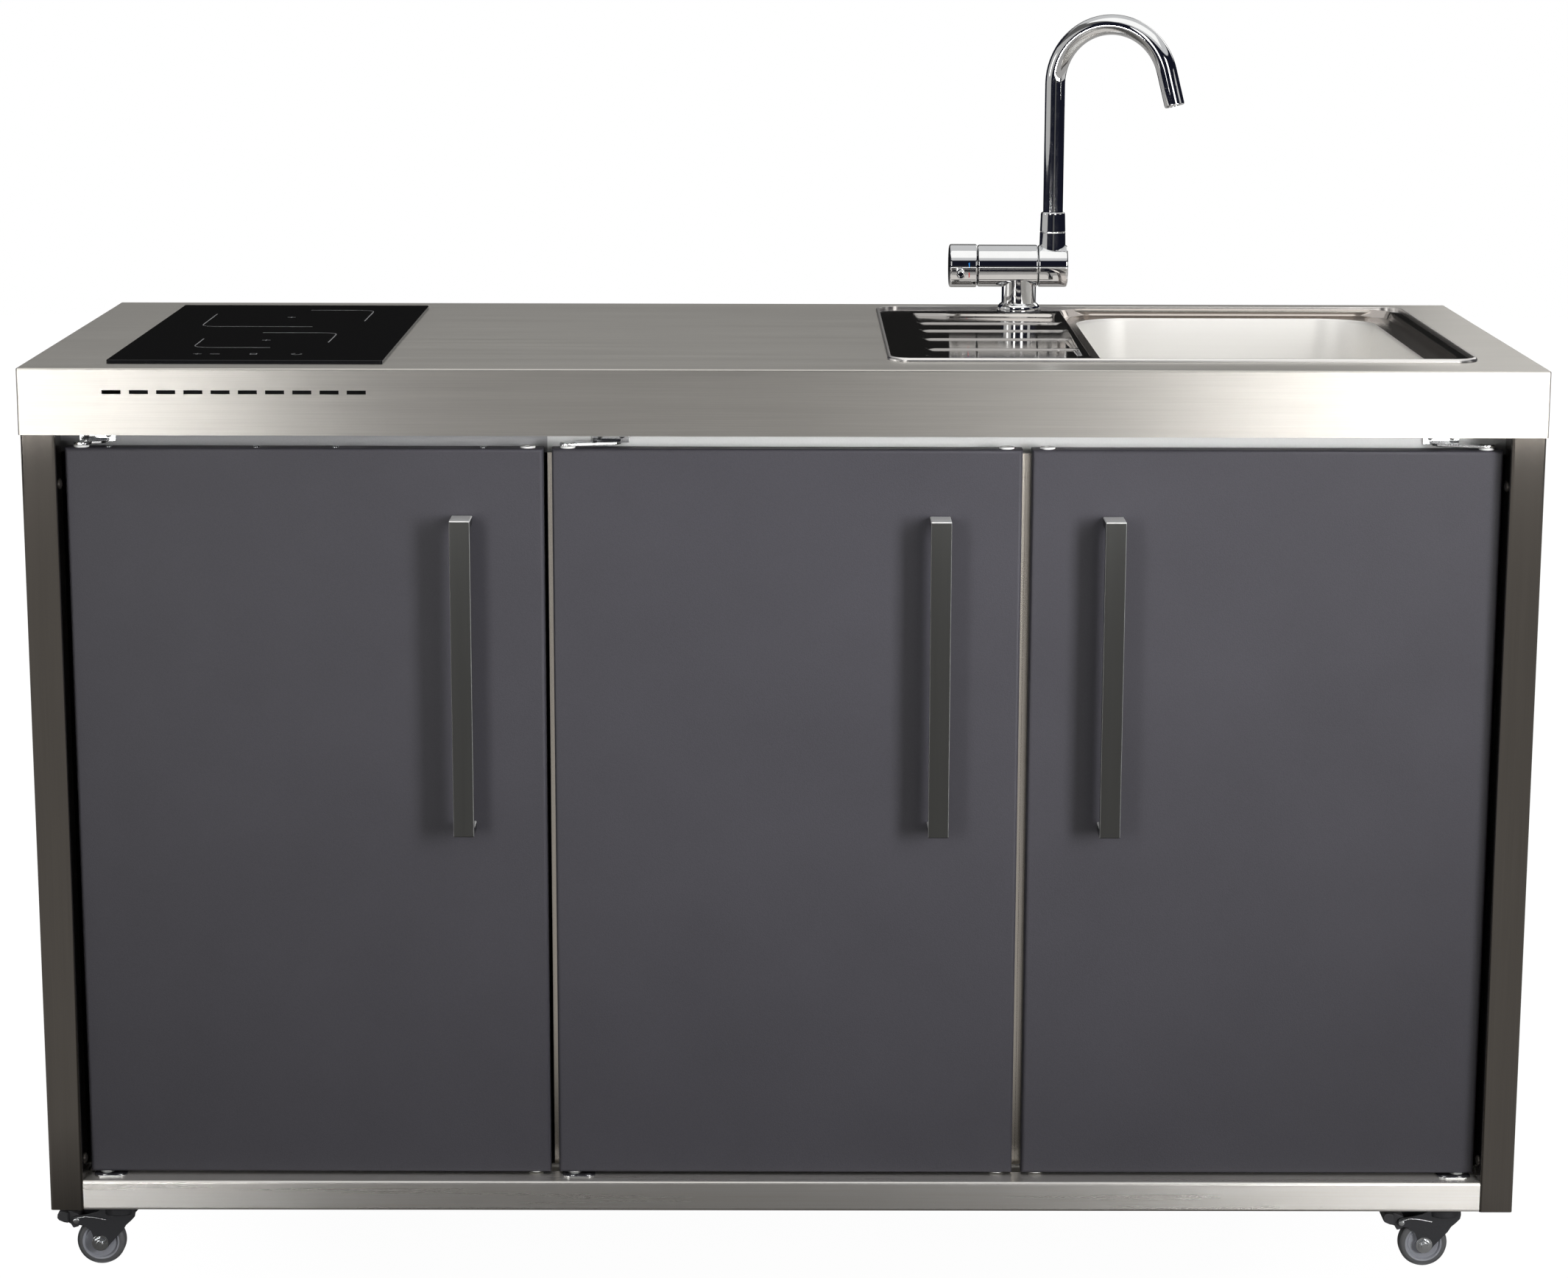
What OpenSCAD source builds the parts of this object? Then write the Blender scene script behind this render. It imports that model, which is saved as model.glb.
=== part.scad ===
// Outdoor kitchen unit: brushed steel frame on castors, three doors, hob, sink and folding tap.
// X runs to the right, Y to the back, Z up. The floor is z = 0.
// Places in depth are given as distances back from the front of the worktop.

/* [Worktop] */
// Width of the worktop
top_w = 1500; // [1440:10:1700]
// Depth of the worktop, front to back
top_d = 600; // [590:5:700]
// Height of the worktop above the floor
top_h = 940; // [900:5:980]
// Height of the folded apron round the worktop
apron_h = 66; // [62:1:80]
// Thickness of the worktop sheet
top_t = 1.5; // [1:0.25:2]
// Number of vent slots in the front apron
vent_count = 10; // [4:1:10]
// Length of a vent slot
vent_l = 18.7; // [10:0.1:22]
// Height of a vent slot
vent_h = 4; // [2:0.5:8]
// Spacing of the vent slots
vent_pitch = 26.6; // [24:0.1:28]
// Height of the worktop above the middle of the slots
vent_drop = 23.5; // [15:0.5:35]
// Offset of the row of slots from the middle of the hob
vent_shift = -6; // [-12:1:12]

/* [Hob] */
// Width of the glass
hob_w = 272; // [240:1:300]
// Depth of the glass
hob_d = 502; // [440:1:510]
// Thickness of the glass
hob_t = 4; // [3:0.5:6]
// Distance from the left end of the worktop to the glass
hob_side = 82.5; // [60:0.5:120]
// Offset of the glass from the middle of the worktop's depth
hob_shift = -14.5; // [-19:0.5:10]
// Corner radius of the glass
hob_r = 3; // [1:0.5:6]
// Width of the glass that lies on the worktop
hob_lip = 12; // [8:1:20]
// Depth of the case under the worktop
hob_case_h = 48; // [40:1:50]

/* [Sink] */
// Width of the sink
sink_w = 590; // [560:5:620]
// Distance from the front of the worktop to the sink
sink_front = 63; // [55:1:75]
// Distance from the back of the worktop to the sink
sink_back = 53; // [45:1:65]
// Distance from the right end of the worktop to the sink
sink_side = 57; // [45:1:70]
// Corner radius of the sink
sink_r = 24; // [15:1:35]
// Height of the rolled rim above the worktop
rim_h = 3.8; // [2:0.1:4.5]
// Width of the rolled rim
rim_w = 3.5; // [3:0.25:6]
// Width of the sink that lies on the worktop
sink_lip = 10; // [8:1:16]
// Thickness of the pressed sheet
sink_t = 1.2; // [0.8:0.1:1.5]
// Width of the bowl
bowl_w = 345; // [320:5:360]
// Height of the bowl
bowl_h = 150; // [120:5:170]
// Corner radius of the bowl
bowl_r = 70; // [40:5:90]
// Width of the flat at both ends of the sink
end_land = 38; // [30:1:50]
// Width of the flat in front of the bowl and behind it
bowl_land = 22; // [18:1:30]
// Width of the flat in front of the drainer
front_land = 42; // [35:1:50]
// Width of the flat behind the drainer, which carries the tap
tap_land = 54; // [53:1:90]
// Width of the bridge between the drainer and the bowl
bridge_w = 5; // [4:0.5:12]
// Depth of the drainer pressing
drain_h = 5; // [3:0.5:8]
// Corner radius of the drainer
drain_r = 20; // [10:1:30]
// Number of ribs in the drainer
rib_count = 5; // [3:1:5]
// Distance of the first rib from the front of the drainer
rib_first = 55; // [30:1:60]
// Distance of the last rib from the back of the drainer
rib_last = 17; // [10:1:30]
// Width of a drainer rib
rib_w = 9; // [6:1:14]
// Distance of the ribs' ends from the edge of the drainer
rib_inset = 8; // [4:1:16]
// Radius of the waste hole in the bowl
waste_r = 30; // [25:1:40]
// Height of the waste's cup
cup_h = 40; // [30:1:50]
// Radius of the waste pipe
pipe_r = 20; // [16:1:25]
// Length of the waste outlet behind the back panel
outlet_l = 30; // [20:1:32]
// Height of the waste pipe above the floor
pipe_z = 600; // [560:5:640]
// Radius of the trap's bottle
bottle_r = 34; // [30:1:40]
// Height of the trap's bottle
bottle_h = 130; // [110:5:150]

/* [Tap] */
// Distance from the left edge of the sink to the tap
tap_side = 159; // [130:0.5:180]
// Gap between the tap's flange and the sink's rim
tap_gap = 0.4; // [0.2:0.1:4]
// Height of the barrel's axis above the worktop
barrel_z = 51.3; // [45:0.1:60]
// Radius of the barrel
barrel_r = 23.2; // [20:0.1:26]
// Length of the barrel to the left of the tap's axis
barrel_left = 46.5; // [40:0.5:60]
// Length of the barrel to the right of the tap's axis
barrel_right = 20; // [20:0.5:30]
// Length of the mixing knob
knob_l = 31; // [28:0.5:40]
// Length of the folding hub
hub_l = 32.5; // [31:0.5:38]
// Radius of the pedestal
pedestal_r = 18.8; // [16:0.1:20]
// Radius of the flange under the pedestal
flange_r = 23.2; // [21:0.1:26]
// Height of the flange under the pedestal
flange_h = 5; // [3:0.5:8]
// Radius of the lever pin on the knob
lever_r = 4.7; // [3.5:0.1:6]
// Length of the lever pin outside the knob
lever_l = 19; // [14:1:40]
// Angle of the lever pin below the level at rest
lever_turn = 9; // [0:1:30]
// Radius of the spout's tube
spout_r = 11; // [9:0.5:12]
// Wall of the spout's tube
spout_t = 1.5; // [1:0.25:2]
// Height of the collar's top above the barrel's axis
collar_z = 59.5; // [52:0.5:70]
// Radius of the collar at its foot
collar_r = 14.6; // [14:0.1:15.5]
// Radius of the collar at its top
collar_top_r = 13.3; // [12.8:0.1:13.8]
// Height of the straight riser above the barrel's axis
riser_h = 199.5; // [150:0.5:240]
// Radius of the spout's arch
arch_r = 65.5; // [50:0.5:90]
// Angle that the arch turns through
arch_turn = 165; // [150:1:175]
// Length of the straight end of the spout, with its aerator
tip_l = 39; // [34:1:60]
// Length of the aerator
aerator_l = 21; // [15:1:25]
// Angle of the spout towards the front at rest
spout_turn = 25; // [0:1:40]
// Radius of the cartridge's stem
stem_r = 8; // [6:0.5:10]
// Length of the stem inside the knob
stem_l = 14; // [10:1:18]
// Wall of the knob
knob_wall = 4.8; // [3.5:0.1:6]
// Radius of the spigot that carries the folding hub
spigot_r = 10; // [8:0.5:12]
// Length of the spigot
spigot_l = 16; // [12:1:20]

/* [Frame] */
// Width of a leg
leg_w = 34; // [30:1:40]
// Depth of a leg, front to back
leg_d = 34; // [30:1:36]
// Wall of the frame tubes
tube_t = 1.5; // [1:0.5:2.5]
// Height of the base rails
rail_h = 31.5; // [28:0.5:40]
// Width of the tubes that carry the castors
bearer_w = 50; // [44:1:60]
// Thickness of the panels
panel_t = 1.5; // [1:0.25:2]
// Distance from the middle door to the divider on its left
divider_gap = 5.95; // [5:0.05:6.5]
// Width of the folded edges of the side panels
side_fold = 12; // [8:1:20]
// Height of the folded front edge of the floor panel
floor_fold = 14; // [8:1:20]
// Depth of the top rails behind the doors
top_rail_d = 20; // [15:1:25]
// Height of the top rails behind the doors
top_rail_h = 24; // [20:1:28]
// Distance of the upper leg screws below the worktop
screw_drop = 117; // [100:1:160]
// Height of the lower leg screws above the base rails
screw_rise = 19; // [12:1:40]
// Radius of a leg screw's head
screw_r = 5.5; // [4:0.5:7]

/* [Doors] */
// Distance from the front of the worktop to the doors
door_set = 22.5; // [20:0.5:24]
// Thickness of a door
door_t = 20; // [18:0.5:22]
// Thickness of the door's outer sheet
pan_t = 1; // [0.8:0.1:1.5]
// Radius of the door's front edges
door_r = 4; // [3:0.5:6]
// Width of the fridge door
fridge_door_w = 472; // [460:1:480]
// Gap between the left leg and the fridge door
gap_left = 5; // [4:0.5:7]
// Gap between the fridge door and the middle door
gap_fridge = 8.5; // [8:0.5:11]
// Gap between the middle door and the right door
gap_middle = 9.5; // [8:0.5:12]
// Gap between the right door and the right leg
gap_right = 3.5; // [3:0.5:5]
// Gap between the apron and the doors
gap_top = 16; // [14:0.5:20]
// Gap between the base rail and the doors
gap_foot = 2.5; // [2.3:0.1:4]
// Gap behind the doors, which the gasket fills
gap_back = 11.5; // [10:0.5:14]
// Length of a handle
handle_l = 320; // [200:10:400]
// Width of a handle
handle_w = 20.5; // [15:0.5:25]
// Thickness of a handle's bar
handle_t = 9; // [6:0.5:12]
// Reach of a handle in front of its door
handle_reach = 34.5; // [30:0.5:45]
// Distance of a handle's middle from the free edge of its door
handle_inset = 81; // [50:1:110]
// Distance of a handle's top below the top of its door
handle_drop = 66.5; // [50:0.5:120]

/* [Hinges] */
// Radius of a hinge pin
pin_r = 3; // [2.5:0.1:3.5]
// Distance of a pin from the edge of its door
pin_inset = 15.5; // [14.5:0.5:16]
// Length of a pin inside its bush
pin_l = 9; // [6:1:12]
// Radius of a bush
bush_r = 6; // [5:0.5:7]
// Length of a bush inside its door
bush_l = 13; // [13:1:18]
// Height of the bush collar above the door
collar_h = 2; // [1.5:0.1:3]
// Thickness of the upper hinge arms
arm_t = 2.5; // [2:0.5:3]
// Run of the upper hinge arms along the door
arm_run = 42; // [36:1:60]
// Run of the upper hinge arm of the fridge door
short_run = 12.6; // [8:0.2:20]
// Width of the lower hinge plates
foot_w = 34; // [28:1:40]
// Thickness of the lower hinge plates
foot_t = 1.5; // [1:0.1:1.6]

/* [Fridge] */
// Gap between the fridge and the back panel
fridge_gap = 29; // [20:1:60]
// Gap between the fridge and the divider
fridge_side = 6; // [2:0.5:10]
// Thickness of the insulated walls
wall = 28; // [24:1:32]
// Thickness of the inner liner
liner_t = 2; // [1:0.5:3]
// Height of the machine space at the back
machine_h = 170; // [160:5:190]
// Depth of the machine space
machine_d = 150; // [145:5:165]
// Radius of the compressor
pot_r = 56; // [48:1:58]
// Height of the compressor, with its feet
pot_h = 122; // [100:2:132]
// Thickness of the fridge shelves
shelf_t = 4; // [3:0.5:6]
// Width of the ledges that carry the fridge shelves
ledge = 8; // [6:1:12]
// Width of the door gasket
gasket_w = 12; // [8:1:14]

/* [Cupboard] */
// Height of the shelf above the floor panel
shelf_z = 370; // [300:10:420]
// Height of the folded edges of the shelf
shelf_fold = 18; // [12:1:25]
// Width of the front flange of a divider
flange_w = 15; // [10:1:20]
// Width of a magnet catch
catch_w = 40; // [30:2:50]
// Height of a magnet catch
catch_h = 12; // [8:1:16]

/* [Castors] */
// Height of a castor
castor_h = 74; // [73:0.5:80]
// Radius of a wheel
wheel_r = 25; // [22:0.5:25.5]
// Width of a wheel
wheel_w = 17; // [14:0.5:18]
// Distance of the wheel behind the swivel axis
trail = 20; // [17:0.5:22]
// Width of the castor plate
plate_w = 60; // [56:1:64]
// Thickness of the castor plate
plate_t = 2.5; // [2:0.25:3]
// Height of the swivel race
race_h = 6.5; // [6:0.1:7]
// Radius of the swivel race
race_r = 16; // [14:0.5:17]
// Height of the fork's crown
crown_h = 9; // [7:0.5:9]
// Thickness of a fork's arm
fork_t = 2.5; // [2:0.25:3]
// Radius of the axle bolt
axle_r = 4; // [3:0.25:5]
// Radius of the king pin
king_r = 4; // [3:0.25:5]
// Thickness of the tyre
tyre_t = 6; // [4:0.5:8]
// Distance of the brake pin beside and above the axle
ear_reach = 24; // [23:0.5:26]
// Radius of the brake pin
ear_pin_r = 2; // [1.5:0.25:2.5]
// Width of the brake pedal's end
paddle_w = 28; // [22:1:32]
// Distance from the ends of the worktop to the castors
castor_side = 64; // [60:1:80]
// Distance from the front and back of the worktop to the castors
castor_front = 50; // [46:1:60]

/* [Services] */
// Radius of the water inlet's thread
inlet_r = 10.4; // [8:0.1:13]
// Length of the water inlet's thread
inlet_l = 24; // [16:1:26]
// Radius of the cable gland
gland_r = 9; // [6:0.5:12]
// Radius of the hole for the mains cable
cable_r = 4.5; // [3:0.5:5]

/* [Clearances] */
// Radial gap between a running shaft and its hole
run_gap = 0.05; // [0.02:0.01:0.1]
// Gap at a seat between pieces that move
seat_gap = 0.3; // [0.2:0.05:0.5]
// Gap round a piece that drops into an opening
drop_gap = 2; // [1:0.5:3]

/* [Hidden] */
$fn = 48;
eps = 0.01;
// The handles reach in front of the worktop, and the origin is the middle of the whole depth.
handle_proud = max(0, handle_reach - door_set);
front_y = (handle_proud - top_d) / 2;
back_y = front_y + top_d;
left_x = -top_w / 2;
under = top_h - top_t;
apron_z = top_h - apron_h;
// Legs and rails stand just inside the folded apron.
leg_x = top_w / 2 - top_t;
leg_in = leg_x - leg_w;
leg_front = front_y + top_t;
leg_front_in = leg_front + leg_d;
leg_back = back_y - top_t;
leg_back_in = leg_back - leg_d;
base_z = castor_h;
rail_z = base_z + rail_h;
floor_z = rail_z + panel_t;
panel_x = leg_x - top_t;
side_x = panel_x - panel_t;
panel_y = leg_back_in - panel_t;
// Doors
door_y = front_y + door_set;
door_back = door_y + door_t;
carcass_y = door_back + gap_back;
door_z = rail_z + gap_foot;
door_top = apron_z - gap_top;
door_h = door_top - door_z;
other_w = (2 * leg_in - gap_left - gap_fridge - gap_middle - gap_right - fridge_door_w) / 2;
door_ws = [fridge_door_w, other_w, other_w];
door_xs = [-leg_in + gap_left, -leg_in + gap_left + fridge_door_w + gap_fridge,
    leg_in - gap_right - other_w];
// The side that a door hangs on: -1 is left and 1 is right.
door_hands = [-1, -1, 1];
pin_y = door_y + door_t / 2;
top_rail_z = apron_z - top_rail_h;
arm_z = door_top + collar_h + seat_gap;
foot_collar = gap_foot - foot_t - seat_gap;
// Dividers
divider_x = door_xs[1] - divider_gap;
pair_x = door_xs[2] - gap_middle / 2;
// Hob
hob_x = left_x + hob_side + hob_w / 2;
hob_y = (front_y + back_y) / 2 + hob_shift;
hob_hole_w = hob_w - 2 * hob_lip;
hob_hole_d = hob_d - 2 * hob_lip;
// Sink
sink_x = top_w / 2 - sink_side - sink_w / 2;
sink_d = back_y - front_y - sink_front - sink_back;
sink_y = front_y + sink_front + sink_d / 2;
deck_z = top_h + sink_t;
bowl_d = sink_d - 2 * bowl_land;
bowl_x = sink_x + sink_w / 2 - end_land - bowl_w / 2;
bowl_y = sink_y;
bowl_z = deck_z - bowl_h;
drain_w = sink_w - 2 * end_land - bowl_w - bridge_w;
drain_x = sink_x - sink_w / 2 + end_land + drain_w / 2;
drain_d = sink_d - front_land - tap_land;
drain_y = sink_y - sink_d / 2 + front_land + drain_d / 2;
rib_h = drain_h - 1;
rib_pitch = rib_count > 1 ? (drain_d - rib_first - rib_last) / (rib_count - 1) : 0;
// Waste and trap, whose tail runs from the top of the bottle up into the cup
cup_floor = 4;
cup_wall = 4;
nut_h = 14;
bottle_t = 4;
bottle_z = pipe_z - 95;
bottle_top = bottle_z + bottle_h;
pipe_wall = 3;
outlet_collar = 1.5;
outlet_y = leg_back_in + outlet_collar + outlet_l - bowl_y;
// Tap
tap_x = sink_x - sink_w / 2 + tap_side;
tap_y = sink_y + sink_d / 2 - rim_w - tap_gap - flange_r;
axis_z = top_h + barrel_z;
stud_r = pedestal_r - 3.3;
stud_wall = 4;
stud_l = 42;
tap_nut_h = 10;
cup_x = tap_x - barrel_left;
end_x = tap_x + barrel_right;
stem_hole = 22;
knob_r = barrel_r + 0.6;
knob_x = cup_x - 0.5;
lever_x = knob_x - knob_l / 2 - 4;
hub_x = end_x + hub_l / 2 + seat_gap;
socket_z = barrel_r - 1.5;
arch_z = axis_z + riser_h;
// Fridge
fridge_x0 = door_xs[0];
fridge_x1 = divider_x - fridge_side;
fridge_y1 = panel_y - fridge_gap;
fridge_top = top_rail_z - 2;
cavity_x0 = fridge_x0 + wall;
cavity_x1 = fridge_x1 - wall;
cavity_z0 = floor_z + wall;
cavity_z1 = fridge_top - wall;
cavity_y1 = fridge_y1 - wall;
hump_z = floor_z + machine_h + wall;
hump_y = fridge_y1 - machine_d - wall;
machine_wall = 8;
shelf_low = hump_z + 30;
shelf_levels = [shelf_low, (shelf_low + cavity_z1) / 2 + 20];
pot_foot = 8;
pot_tray = 6;
pot_cap = 14;
// Castors
race_z = castor_h - plate_t - race_h;
crown_z = race_z - seat_gap - crown_h;
fork_in = wheel_w / 2 + 1;
castor_x = top_w / 2 - castor_side;
castor_ys = [front_y + castor_front, back_y - castor_front];
ear_x = -trail - ear_reach;
ear_z = wheel_r + ear_reach;
bolt_h = 3.5;
nut_t = 4;
nut_y = fork_in + fork_t + run_gap;

// Shapes used by several pieces

// Rounded rectangle about the origin
module round_rect(w, d, r) {
    square([w - 2 * r, d], center = true);
    square([w, d - 2 * r], center = true);
    for (x = [-1, 1], y = [-1, 1]) translate([x * (w / 2 - r), y * (d / 2 - r)]) circle(r);
}

// Block from one corner to the other
module block(a, b) {
    translate(a) cube(b - a);
}

// Square tube standing along Z, with rounded corners
module tube_z(a, b, r = 3) {
    w = b[0] - a[0];
    d = b[1] - a[1];
    translate([a[0] + w / 2, a[1] + d / 2, a[2]]) difference() {
        linear_extrude(b[2] - a[2]) round_rect(w, d, r);
        translate([0, 0, -eps]) linear_extrude(b[2] - a[2] + 2 * eps)
            round_rect(w - 2 * tube_t, d - 2 * tube_t, r - tube_t / 2);
    }
}

// Square tube lying along X
module tube_x(a, b) {
    translate([a[0], 0, 0]) rotate([90, 0, 90])
        tube_z([a[1], a[2], 0], [b[1], b[2], b[0] - a[0]]);
}

// Square tube lying along Y
module tube_y(a, b) {
    translate([0, b[1], 0]) rotate([90, 0, 0])
        tube_z([a[0], a[2], 0], [b[0], b[2], b[1] - a[1]]);
}

module rod_x(r, x0, x1) {
    translate([x0, 0, 0]) rotate([0, 90, 0]) cylinder(r = r, h = x1 - x0);
}

module rod_y(r, y0, y1) {
    translate([0, y1, 0]) rotate([90, 0, 0]) cylinder(r = r, h = y1 - y0);
}

// Worktop, hob and sink

module worktop() {
    color("#c8c6c1") difference() {
        block([left_x, front_y, apron_z], [-left_x, back_y, top_h]);
        block([left_x + top_t, front_y + top_t, apron_z - eps], [-left_x - top_t, back_y - top_t, under]);
        translate([hob_x, hob_y, under - eps]) linear_extrude(top_t + 2 * eps)
            round_rect(hob_hole_w, hob_hole_d, 4);
        translate([sink_x, sink_y, under - eps]) linear_extrude(top_t + 2 * eps)
            round_rect(sink_w - 2 * sink_lip, sink_d - 2 * sink_lip, sink_r - sink_lip / 2);
        for (i = [0:vent_count - 1]) {
            x = hob_x + vent_shift + (i - (vent_count - 1) / 2) * vent_pitch;
            block([x - vent_l / 2, front_y - eps, top_h - vent_drop - vent_h / 2],
                [x + vent_l / 2, front_y + top_t + eps, top_h - vent_drop + vent_h / 2]);
        }
    }
}

module hob_glass() {
    color("#0b0b0d") translate([hob_x, hob_y, top_h]) linear_extrude(hob_t) round_rect(hob_w, hob_d, hob_r);
}

module hob_case() {
    color("#6e7276") difference() {
        translate([hob_x, hob_y, top_h - hob_case_h]) linear_extrude(hob_case_h)
            round_rect(hob_hole_w - 2 * drop_gap, hob_hole_d - 2 * drop_gap, 3);
        translate([hob_x, hob_y, top_h - hob_case_h + panel_t]) linear_extrude(hob_case_h)
            round_rect(hob_hole_w - 2 * drop_gap - 2 * panel_t, hob_hole_d - 2 * drop_gap - 2 * panel_t, 2);
    }
}

// One drainer rib, tapering towards the bowl
module rib(l, w) {
    linear_extrude(rib_h) polygon([[0, -w / 2], [l, -w / 5], [l, w / 5], [0, w / 2]]);
}

module sink() {
    color("#b9b6b0") {
        difference() {
            union() {
                translate([sink_x, sink_y, top_h]) linear_extrude(rim_h) round_rect(sink_w, sink_d, sink_r);
                translate([bowl_x, bowl_y, bowl_z - sink_t]) linear_extrude(bowl_h)
                    round_rect(bowl_w + 2 * sink_t, bowl_d + 2 * sink_t, bowl_r + sink_t);
                translate([drain_x, drain_y, deck_z - drain_h - sink_t]) linear_extrude(drain_h + sink_t)
                    round_rect(drain_w + 2 * sink_t, drain_d + 2 * sink_t, drain_r + sink_t);
            }
            translate([sink_x, sink_y, deck_z]) linear_extrude(rim_h)
                round_rect(sink_w - 2 * rim_w, sink_d - 2 * rim_w, sink_r - rim_w / 2);
            translate([bowl_x, bowl_y, bowl_z]) linear_extrude(bowl_h + rim_h)
                round_rect(bowl_w, bowl_d, bowl_r);
            translate([bowl_x, bowl_y, bowl_z - 2 * sink_t]) cylinder(r = waste_r, h = 3 * sink_t);
            translate([drain_x, drain_y, deck_z - drain_h]) linear_extrude(drain_h + rim_h)
                round_rect(drain_w, drain_d, drain_r);
            translate([tap_x, tap_y, top_h - sink_t]) cylinder(r = stud_r + 1, h = 4 * sink_t);
        }
        for (i = [0:rib_count - 1]) {
            y = drain_y - drain_d / 2 + rib_first + i * rib_pitch;
            translate([drain_x - drain_w / 2 + rib_inset, y, deck_z - drain_h])
                rib(drain_w - 2 * rib_inset, rib_w);
        }
    }
}

module sink_waste() {
    color("#d5d5d5") translate([bowl_x, bowl_y, 0]) difference() {
        union() {
            translate([0, 0, bowl_z]) cylinder(r = waste_r + 8, h = 2);
            translate([0, 0, bowl_z - cup_h]) cylinder(r = waste_r - 1, h = cup_h + 1);
            translate([0, 0, bowl_z - sink_t - 8]) cylinder(r = waste_r + 10, h = 8);
        }
        translate([0, 0, bowl_z - cup_h + cup_floor]) cylinder(r = waste_r - cup_wall, h = cup_h);
        translate([0, 0, bowl_z - cup_h - 1]) cylinder(r = pipe_r, h = cup_floor + 2);
    }
}

module bottle_trap() {
    color("#eeeeea") {
        translate([bowl_x, bowl_y, 0]) difference() {
            union() {
                translate([0, 0, bottle_z]) cylinder(r = bottle_r, h = bottle_h);
                translate([0, 0, bottle_top]) cylinder(r = pipe_r + 5, h = nut_h);
                translate([0, 0, bottle_top])
                    cylinder(r = pipe_r - 1, h = bowl_z - cup_h + cup_floor - bottle_top);
                translate([0, 0, pipe_z]) rod_y(pipe_r, 0, outlet_y);
                translate([0, 0, pipe_z])
                    rod_y(pipe_r + 6, outlet_y - outlet_l - outlet_collar, outlet_y - outlet_l);
            }
            translate([0, 0, bottle_z + bottle_t])
                cylinder(r = bottle_r - bottle_t, h = bottle_h - 2 * bottle_t);
            translate([0, 0, bottle_top - 2 * bottle_t])
                cylinder(r = pipe_r - 1 - pipe_wall, h = bowl_z - bottle_top + 2 * bottle_t);
            translate([0, 0, pipe_z]) rod_y(pipe_r - pipe_wall, pipe_r, outlet_y + 1);
        }
    }
}

// Tap

module tap_body() {
    color("#d9dbdd") difference() {
        union() {
            translate([tap_x, tap_y, deck_z]) cylinder(r = flange_r, h = flange_h);
            translate([tap_x, tap_y, deck_z]) cylinder(r = pedestal_r, h = axis_z - deck_z);
            translate([tap_x, tap_y, deck_z - stud_l]) cylinder(r = stud_r, h = stud_l + 1);
            translate([tap_x, tap_y, under - tap_nut_h]) cylinder(r = stud_r + 8, h = tap_nut_h, $fn = 6);
            translate([0, tap_y, axis_z]) rod_x(barrel_r, cup_x, end_x);
            translate([0, tap_y, axis_z]) rod_x(spigot_r, end_x - 2, end_x + spigot_l);
        }
        translate([0, tap_y, axis_z]) rod_x(stem_r + run_gap, cup_x - 1, cup_x + stem_hole + seat_gap);
        translate([tap_x, tap_y, deck_z - stud_l - 1])
            cylinder(r = stud_r - stud_wall, h = stud_l + flange_h);
    }
}

module tap_cartridge() {
    color("#e7e4da") translate([0, tap_y, axis_z]) rod_x(stem_r, cup_x - stem_l, cup_x + stem_hole);
}

module tap_knob() {
    color("#d9dbdd") translate([0, tap_y, axis_z]) difference() {
        rod_x(knob_r, knob_x - knob_l, knob_x);
        rod_x(knob_r - knob_wall, cup_x - stem_l - seat_gap, knob_x + 1);
        translate([lever_x, 0, 0]) rotate([lever_turn, 0, 0])
            rod_y(lever_r, -knob_r - 1, -knob_r + knob_wall + 2);
    }
}

module tap_lever() {
    color("#c9cbcd") translate([lever_x, tap_y, axis_z]) rotate([lever_turn, 0, 0]) difference() {
        rod_y(lever_r, -knob_r - lever_l, -knob_r + knob_wall - 1);
        rod_y(lever_r * 0.6, -knob_r - lever_l - 1, -knob_r - lever_l + 4);
    }
}

module spout_hub() {
    color("#d9dbdd") difference() {
        union() {
            translate([0, tap_y, axis_z]) rod_x(barrel_r, end_x + seat_gap, end_x + seat_gap + hub_l);
            translate([hub_x, tap_y, axis_z]) cylinder(r1 = collar_r, r2 = collar_top_r, h = collar_z);
        }
        translate([0, tap_y, axis_z]) rod_x(spigot_r + run_gap, end_x, end_x + spigot_l + seat_gap);
        translate([hub_x, tap_y, axis_z + socket_z]) cylinder(r = spout_r + run_gap, h = collar_z);
    }
}

// Round run of the spout from its socket to the aerator. The arch is drawn a trace slimmer than
// the straight lengths, which run on into it, so that the three join cleanly.
module spout_tube(r, z0, tip) {
    lap = 1;
    translate([0, 0, z0]) cylinder(r = r, h = arch_z - z0 + lap);
    translate([arch_r, 0, arch_z]) rotate([90, 0, 0]) rotate([0, 0, 180 - arch_turn])
        rotate_extrude(angle = arch_turn) translate([arch_r, 0]) circle(r - run_gap);
    translate([arch_r, 0, arch_z]) rotate([0, arch_turn, 0])
        translate([-arch_r, 0, -lap]) cylinder(r = r, h = tip + lap);
}

module spout() {
    z0 = axis_z + socket_z + seat_gap;
    color("#d9dbdd") translate([hub_x, tap_y, 0]) rotate([0, 0, -spout_turn]) difference() {
        spout_tube(spout_r, z0, tip_l - aerator_l);
        spout_tube(spout_r - spout_t, z0 - 1, tip_l - aerator_l + 1);
    }
}

module aerator() {
    color("#c4c7ca") translate([hub_x, tap_y, 0]) rotate([0, 0, -spout_turn])
        translate([arch_r, 0, arch_z]) rotate([0, arch_turn, 0]) translate([-arch_r, 0, tip_l - aerator_l])
            difference() {
                cylinder(r = spout_r, h = aerator_l);
                translate([0, 0, 4]) cylinder(r = spout_r - spout_t, h = aerator_l);
                for (a = [0:60:300]) rotate([0, 0, a]) translate([5, 0, -1]) cylinder(r = 1.2, h = 8);
            }
}

// Frame

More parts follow.
